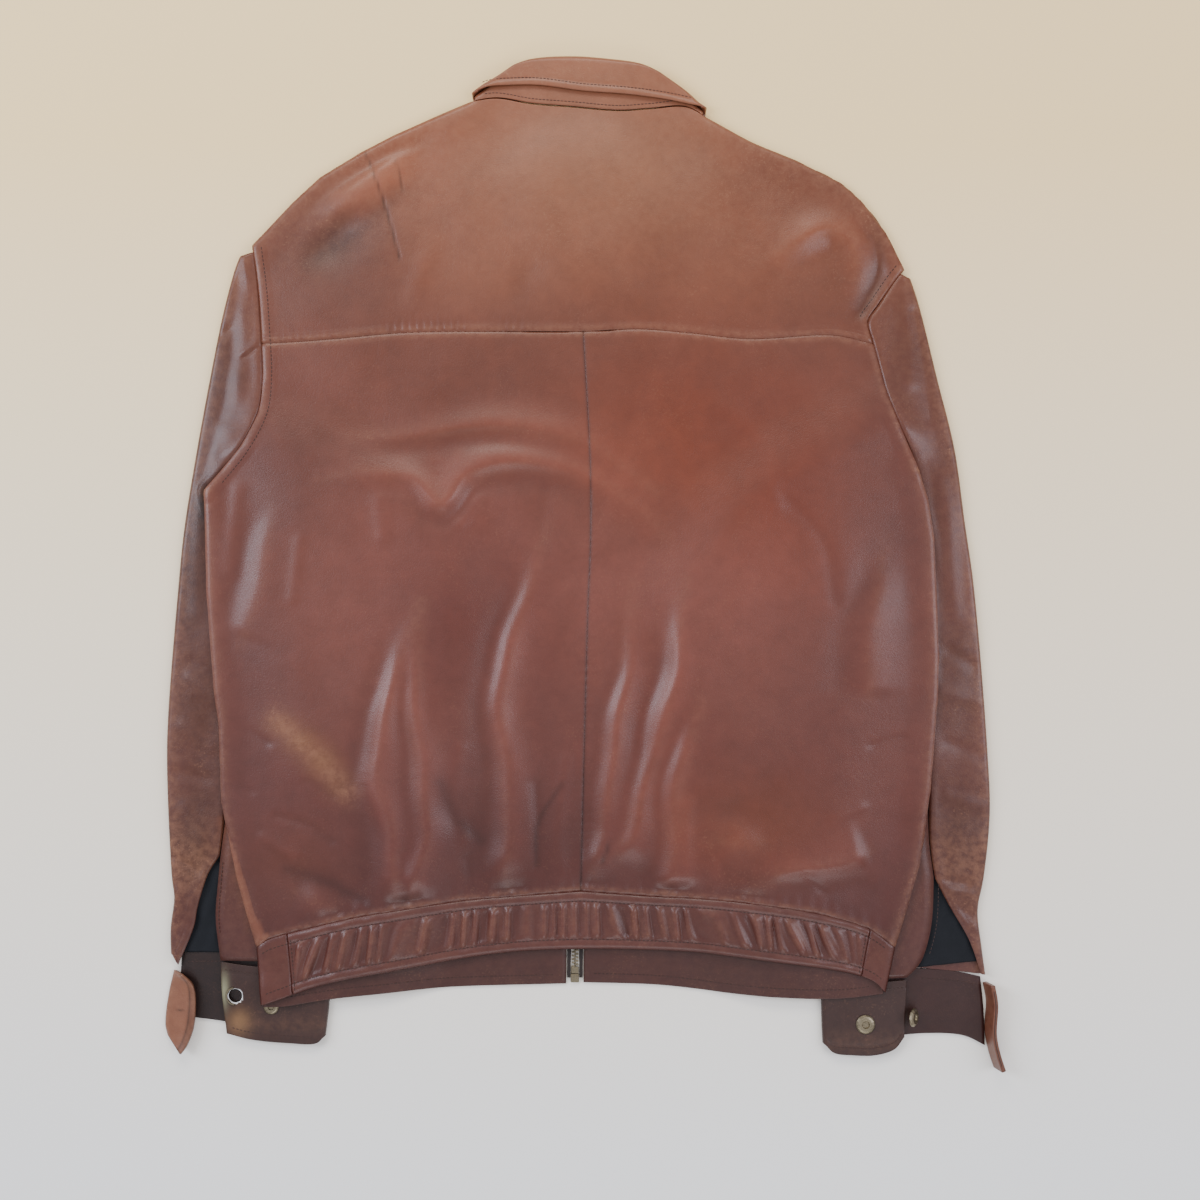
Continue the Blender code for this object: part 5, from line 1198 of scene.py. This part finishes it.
rows = np.array([0, 0.05, 0.1, 0.15, 0.2, 0.26, 0.35, 0.45, 0.55, 0.65, 0.75, 0.82, 0.88, 0.92, 0.95,
                 0.975, 0.99, 1.0])
fronts = [smooth(FALL["edge_left"], 40), smooth(FALL["edge_right"], 40)]
fall_grid = collar_strip(FALL, smooth(FALL["edge_back"], 80), fronts, rows, fall_side)
x, y = fall_grid[..., 0], fall_grid[..., 1]
fall = cloth("collar_fall_leather", fall_grid, dye_and_painted_light(x, y, 0.98), 0.45, BROWN_LEATHER)
dress(fall, "collar_fall")


# The zip: a closed chain of brass teeth on dark woven tapes, sewn between the fronts, with its pin
# and box at the hem and its slider and pull at the throat.
def brass():
    material, nodes, links, shader = new_material("antique_brass")
    tree = (nodes, links)
    place = add_node(tree, "TexCoord", "Object")
    tarnish = add_node(tree, "TexNoise", "Fac", {"Scale": 1400, "Detail": 6}, {"Vector": place})
    links.new(two_tones(tree, tarnish, (0.186, 0.155, 0.1054), (0.3224, 0.2728, 0.186), (0.3, 0.75)),
              shader.inputs["Base Color"])
    links.new(add_node(tree, "MapRange", "Result", {"To Min": 0.28, "To Max": 0.55}, {"Value": tarnish}),
              shader.inputs["Roughness"])
    shader.inputs["Metallic"].default_value = 1.0
    return material


ANTIQUE_BRASS = brass()
ZIP_TAPE, nodes, links, shader = new_material("zip_tape")
weave = nodes.new("ShaderNodeTexWave")
weave.inputs["Scale"].default_value = 900
weave.bands_direction = "DIAGONAL"
links.new(add_node((nodes, links), "TexCoord", "Object"), weave.inputs["Vector"])
links.new(two_tones((nodes, links), weave.outputs["Fac"], (0.006, 0.004, 0.004), (0.030, 0.019, 0.016)),
          shader.inputs["Base Color"])
shader.inputs["Roughness"].default_value = 0.85
for material, names in ((ANTIQUE_BRASS, ("zip_box", "zip_pin", "zip_slider", "zip_pull", "snap_right",
                                         "snap_left", "snap_edge_right", "snap_torn_left")),
                        (ZIP_TAPE, ("zip_tape_left", "zip_tape_right"))):
    for name in names:
        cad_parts[name].data.materials.clear()
        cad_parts[name].data.materials.append(material)


# The zip's teeth: stamped brass, clamped along the edges of both tapes 2.9 mm apart, so that each
# row's teeth sit between the other's and mesh along the middle.
TOOTH_PITCH = 2.9
TOOTH_REACH = 1.05
chain_y = np.arange(-330.2, 296, TOOTH_PITCH)
chain_x = (x_at(ZIP_EDGE_LEFT, chain_y) + x_at(ZIP_EDGE_RIGHT, chain_y)) / 2
chain = np.column_stack([chain_x, chain_y, front_level(chain_x, chain_y)])
bpy.ops.mesh.primitive_cube_add(size=1, location=(0, 0, 0))
tooth = bpy.context.object
bpy.ops.object.mode_set(mode="EDIT")
bpy.ops.transform.resize(value=(3.4 * MM, 1.35 * MM, 1.7 * MM))
bpy.ops.mesh.bevel(offset=0.3 * MM, segments=1, affect="EDGES")
bpy.ops.object.mode_set(mode="OBJECT")
corners = np.array([vertex.co[:] for vertex in tooth.data.vertices]) / MM
sides = [tuple(face.vertices) for face in tooth.data.polygons]
bpy.data.objects.remove(tooth, do_unlink=True)
points, faces = [], []
for index, (x, y, z) in enumerate(chain):
    for sign in (-1, 1):
        first = len(corners) * (2 * index + (sign > 0))
        faces += [tuple(corner + first for corner in side) for side in sides]
        points.append(corners + (x + sign * TOOTH_REACH, y + sign * TOOTH_PITCH / 4, z))
teeth = add_mesh("zip_teeth_brass", np.vstack(points), faces, ANTIQUE_BRASS)
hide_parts("zip_teeth")
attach(teeth, "jacket")


# The stitching: strong brown thread in short even stitches, sunk a little between their holes,
# along the armholes, both bands, the collar and the cuffs.
BROWN_THREAD, nodes, links, shader = new_material("brown_thread")
place = add_node((nodes, links), "TexCoord", "Object")
faded = add_node((nodes, links), "TexNoise", "Fac", {"Scale": 90}, {"Vector": place})
links.new(two_tones((nodes, links), faded, (0.022, 0.010, 0.008), (0.060, 0.026, 0.019)),
          shader.inputs["Base Color"])
shader.inputs["Roughness"].default_value = 0.75


def beside(line, gap):
    """The same line moved sideways, to its left where the gap is positive."""
    line = smooth(line, 80) if len(line) < 60 else np.asarray(line, dtype=float)
    run = np.gradient(line, axis=0)
    run = run / np.linalg.norm(run, axis=1, keepdims=True)
    return line + np.stack([-run[:, 1], run[:, 0]], axis=1) * gap


def laid_on(grid, line, lift=WALL / 2 + 0.12):
    """The line's points raised onto a piece's outer face, from the nearest points of its grid."""
    cloud = np.asarray(grid).reshape(-1, 3)
    heights = []
    for x, y in line:
        gap = np.hypot(cloud[:, 0] - x, cloud[:, 1] - y)
        near = np.argpartition(gap, 4)[:4]
        weight = 1 / (gap[near] + 0.05)
        heights.append((cloud[near, 2] * weight).sum() / weight.sum())
    return np.column_stack([line, np.array(heights) + lift])


def stitches(name, lines, pitch=3.3, length=2.5, radius=0.3):
    """Short rods with pointed ends along the lines, as one mesh."""
    ring = np.array([[math.cos(turn), math.sin(turn)] for turn in np.linspace(0, 2 * math.pi, 7)[:-1]])
    points, faces = [], []
    for line in lines:
        total = run_length(line)[-1]
        share = (np.arange(int(total / pitch)) + 0.5) * pitch / total
        for centre, aim in zip(along(line, share), along(line, np.clip(share + 0.6 / total, 0, 1))):
            run = (aim - centre) / max(np.linalg.norm(aim - centre), 1e-6)
            beside_run = np.cross([0, 0, 1], run)
            beside_run = beside_run / np.linalg.norm(beside_run)
            up = np.cross(run, beside_run)
            first = 14 * len(points)
            body = [centre - run * length / 2 - up * 0.2]
            for reach in (-0.32, 0.32):
                body += [centre + run * length * reach + (beside_run * c + up * s) * radius
                         for c, s in ring]
            body.append(centre + run * length / 2 - up * 0.2)
            points.append(body)
            for k in range(6):
                n = (k + 1) % 6
                faces += [(first, first + 1 + n, first + 1 + k),
                          (first + 1 + k, first + 1 + n, first + 7 + n, first + 7 + k),
                          (first + 13, first + 7 + k, first + 7 + n)]
    row = add_mesh(name, np.array(points).reshape(-1, 3), faces, BROWN_THREAD)
    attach(row, "jacket")


whole_back = np.vstack([grid.reshape(-1, 3) for grid in back_grids + [yoke_grid]])
arm_left = beside(joined(smooth(ARMHOLE_LEFT, 60), smooth(CAP_SEAM_LEFT, 40)), -7.2)
arm_right = beside(joined(smooth(ARMHOLE_RIGHT, 60), smooth(CAP_SEAM_RIGHT, 40)), 7.2)
stitches("armhole_stitches", [laid_on(whole_back, arm_left[6:]), laid_on(whole_back, arm_right[70:])])
band_cloud = np.vstack([grid.reshape(-1, 3) for grid in band_grids.values()])
stitches("waistband_stitches", [laid_on(band_cloud, (hem + (seam - hem) * share)[12:-12:6])
                                for share in STITCH_ROWS])
end_rows = []
for cut in (0.056, 0.949):
    low, high = along(hem, [cut])[0], along(seam, [cut])[0]
    end_rows.append(laid_on(band_cloud, low + (high - low) * np.linspace(0.04, 0.96, 20)[:, None]))
stitches("waistband_end_stitches", end_rows)
stitches("front_band_stitches", [
    laid_on(front_band_grids[side], smooth(line, 90)[3:-3] + (0, 7.4))
    for side, line in (("left", FRONT_HEM_LEFT), ("right", FRONT_HEM_RIGHT))])
cuff_rows = []
for side, cuff in (("left", CUFF_LEFT), ("right", CUFF_RIGHT)):
    middle = cuff_grids[side].shape[1] // 2
    upper_face, lower_face = cuff_grids[side][:, :middle - 6], cuff_grids[side][:, middle + 6:]
    inward = np.array([0.0, 6.0])
    cuff_rows.append(laid_on(upper_face, smooth(cuff["upper_hem"], 60)[3:-8] + inward))
    cuff_rows.append(laid_on(upper_face, smooth(cuff["upper_seam"], 60)[2:-4] - inward))
    cuff_rows.append(laid_on(lower_face, smooth(cuff["lower_seam"], 60)[2:24] - (0, 8)))
stitches("cuff_stitches", cuff_rows, pitch=3.2)
collar_line = smooth(FALL["edge_back"], 90)[4:-4] + (0, 5.4)
stand_line = smooth(NECK_BACK, 90)[5:-5] + (0, 4.6)
stitches("collar_stitches", [laid_on(fall_grid[:, fall_grid[0, :, 2] > 7], collar_line),
                             laid_on(stand_grid[:, stand_grid[2, :, 2] > 5], stand_line)], pitch=3.0)
tab_line = np.column_stack([tab_right[3:-3] + (1.4, 0),
                            np.full(len(tab_right) - 6, TAB_RIGHT_HEIGHT + 0.15)])
stitches("tab_edge_seam", [tab_line], pitch=2.0, length=2.6, radius=0.4)
slit_rows = [laid_on(sleeve_grids["top_right"][:, :16], beside(SLIT_INNER_RIGHT, 3.2)[4:60]),
             laid_on(sleeve_grids["under_left"][:, :14], beside(SLIT_INNER_LEFT, 3.4)[4:60])]
stitches("slit_stitches", slit_rows)


# The floor, the light and the camera: a pale surface under the jacket, painted warmer towards
# the collar end as warm light, soft daylight from its sides and a camera straight above. None
# of them is part of the jacket.
bpy.ops.mesh.primitive_plane_add(size=6, location=(0, 0, -0.3 * MM))
floor = bpy.context.object
floor.name = "floor"
material, nodes, links, shader = new_material("floor")
tree = (nodes, links)
place = add_node(tree, "TexCoord", "Object")
upward = add_node(tree, "SeparateXYZ", "Y", linked={"Vector": place})
# Painted light: the floor's colour turns warm towards the collar end, standing in for warm light from that side.
painted_warm_light = add_node(tree, "MapRange", "Result", {"From Min": -0.5, "From Max": 0.35}, {"Value": upward})
links.new(two_tones(tree, painted_warm_light, linear((246, 246, 244)), linear((255, 224, 164))),
          shader.inputs["Base Color"])
shader.inputs["Roughness"].default_value = 0.8
floor.data.materials.append(material)

world = bpy.data.worlds.new("Soft light") if not bpy.context.scene.world else bpy.context.scene.world
bpy.context.scene.world = world
world.use_nodes = True
world.node_tree.nodes["Background"].inputs["Color"].default_value = (0.96, 0.97, 1.0, 1)
world.node_tree.nodes["Background"].inputs["Strength"].default_value = 0.62
for name, place, size, power, colour in (
        ("window_left", (-1.5, 0.4, 1.35), (0.7, 1.3), 29, (0.82, 0.86, 1.0)),
        ("window_top", (-0.2, 1.65, 1.5), (1.6, 0.7), 26, (1.0, 0.94, 0.86)),
        ("room_right", (1.5, 0.0, 1.4), (0.6, 1.6), 19, (0.86, 0.87, 1.0)),
        ("room_low", (0.2, -1.8, 1.6), (1.6, 0.7), 12, (0.95, 0.96, 1.0))):
    bpy.ops.object.light_add(type="AREA", location=place)
    lamp = bpy.context.object
    lamp.name = name
    aim = np.array([0.0, -0.02, 0.0]) - np.array(place)
    reach = float(np.linalg.norm(aim))
    lamp.rotation_euler = (math.acos(-aim[2] / reach), 0.0, math.atan2(aim[1], aim[0]) - math.pi / 2)
    lamp.data.shape = "RECTANGLE"
    lamp.data.size, lamp.data.size_y = size
    lamp.data.energy = power
    lamp.data.color = colour

PHOTO_MIDDLE = (13.8, -28.7)
PHOTO_WIDTH = 984.0
CAMERA_HEIGHT = 1300.0
camera = bpy.data.objects.new("Camera", bpy.data.cameras.new("Camera"))
bpy.context.scene.collection.objects.link(camera)
camera.location = ((PHOTO_MIDDLE[0] + FRAME_SHIFT[0]) * MM, (PHOTO_MIDDLE[1] + FRAME_SHIFT[1]) * MM,
                   (CAMERA_HEIGHT + 10) * MM)
camera.data.sensor_width = 36.0
camera.data.lens = 36.0 * CAMERA_HEIGHT / PHOTO_WIDTH
bpy.context.scene.camera = camera
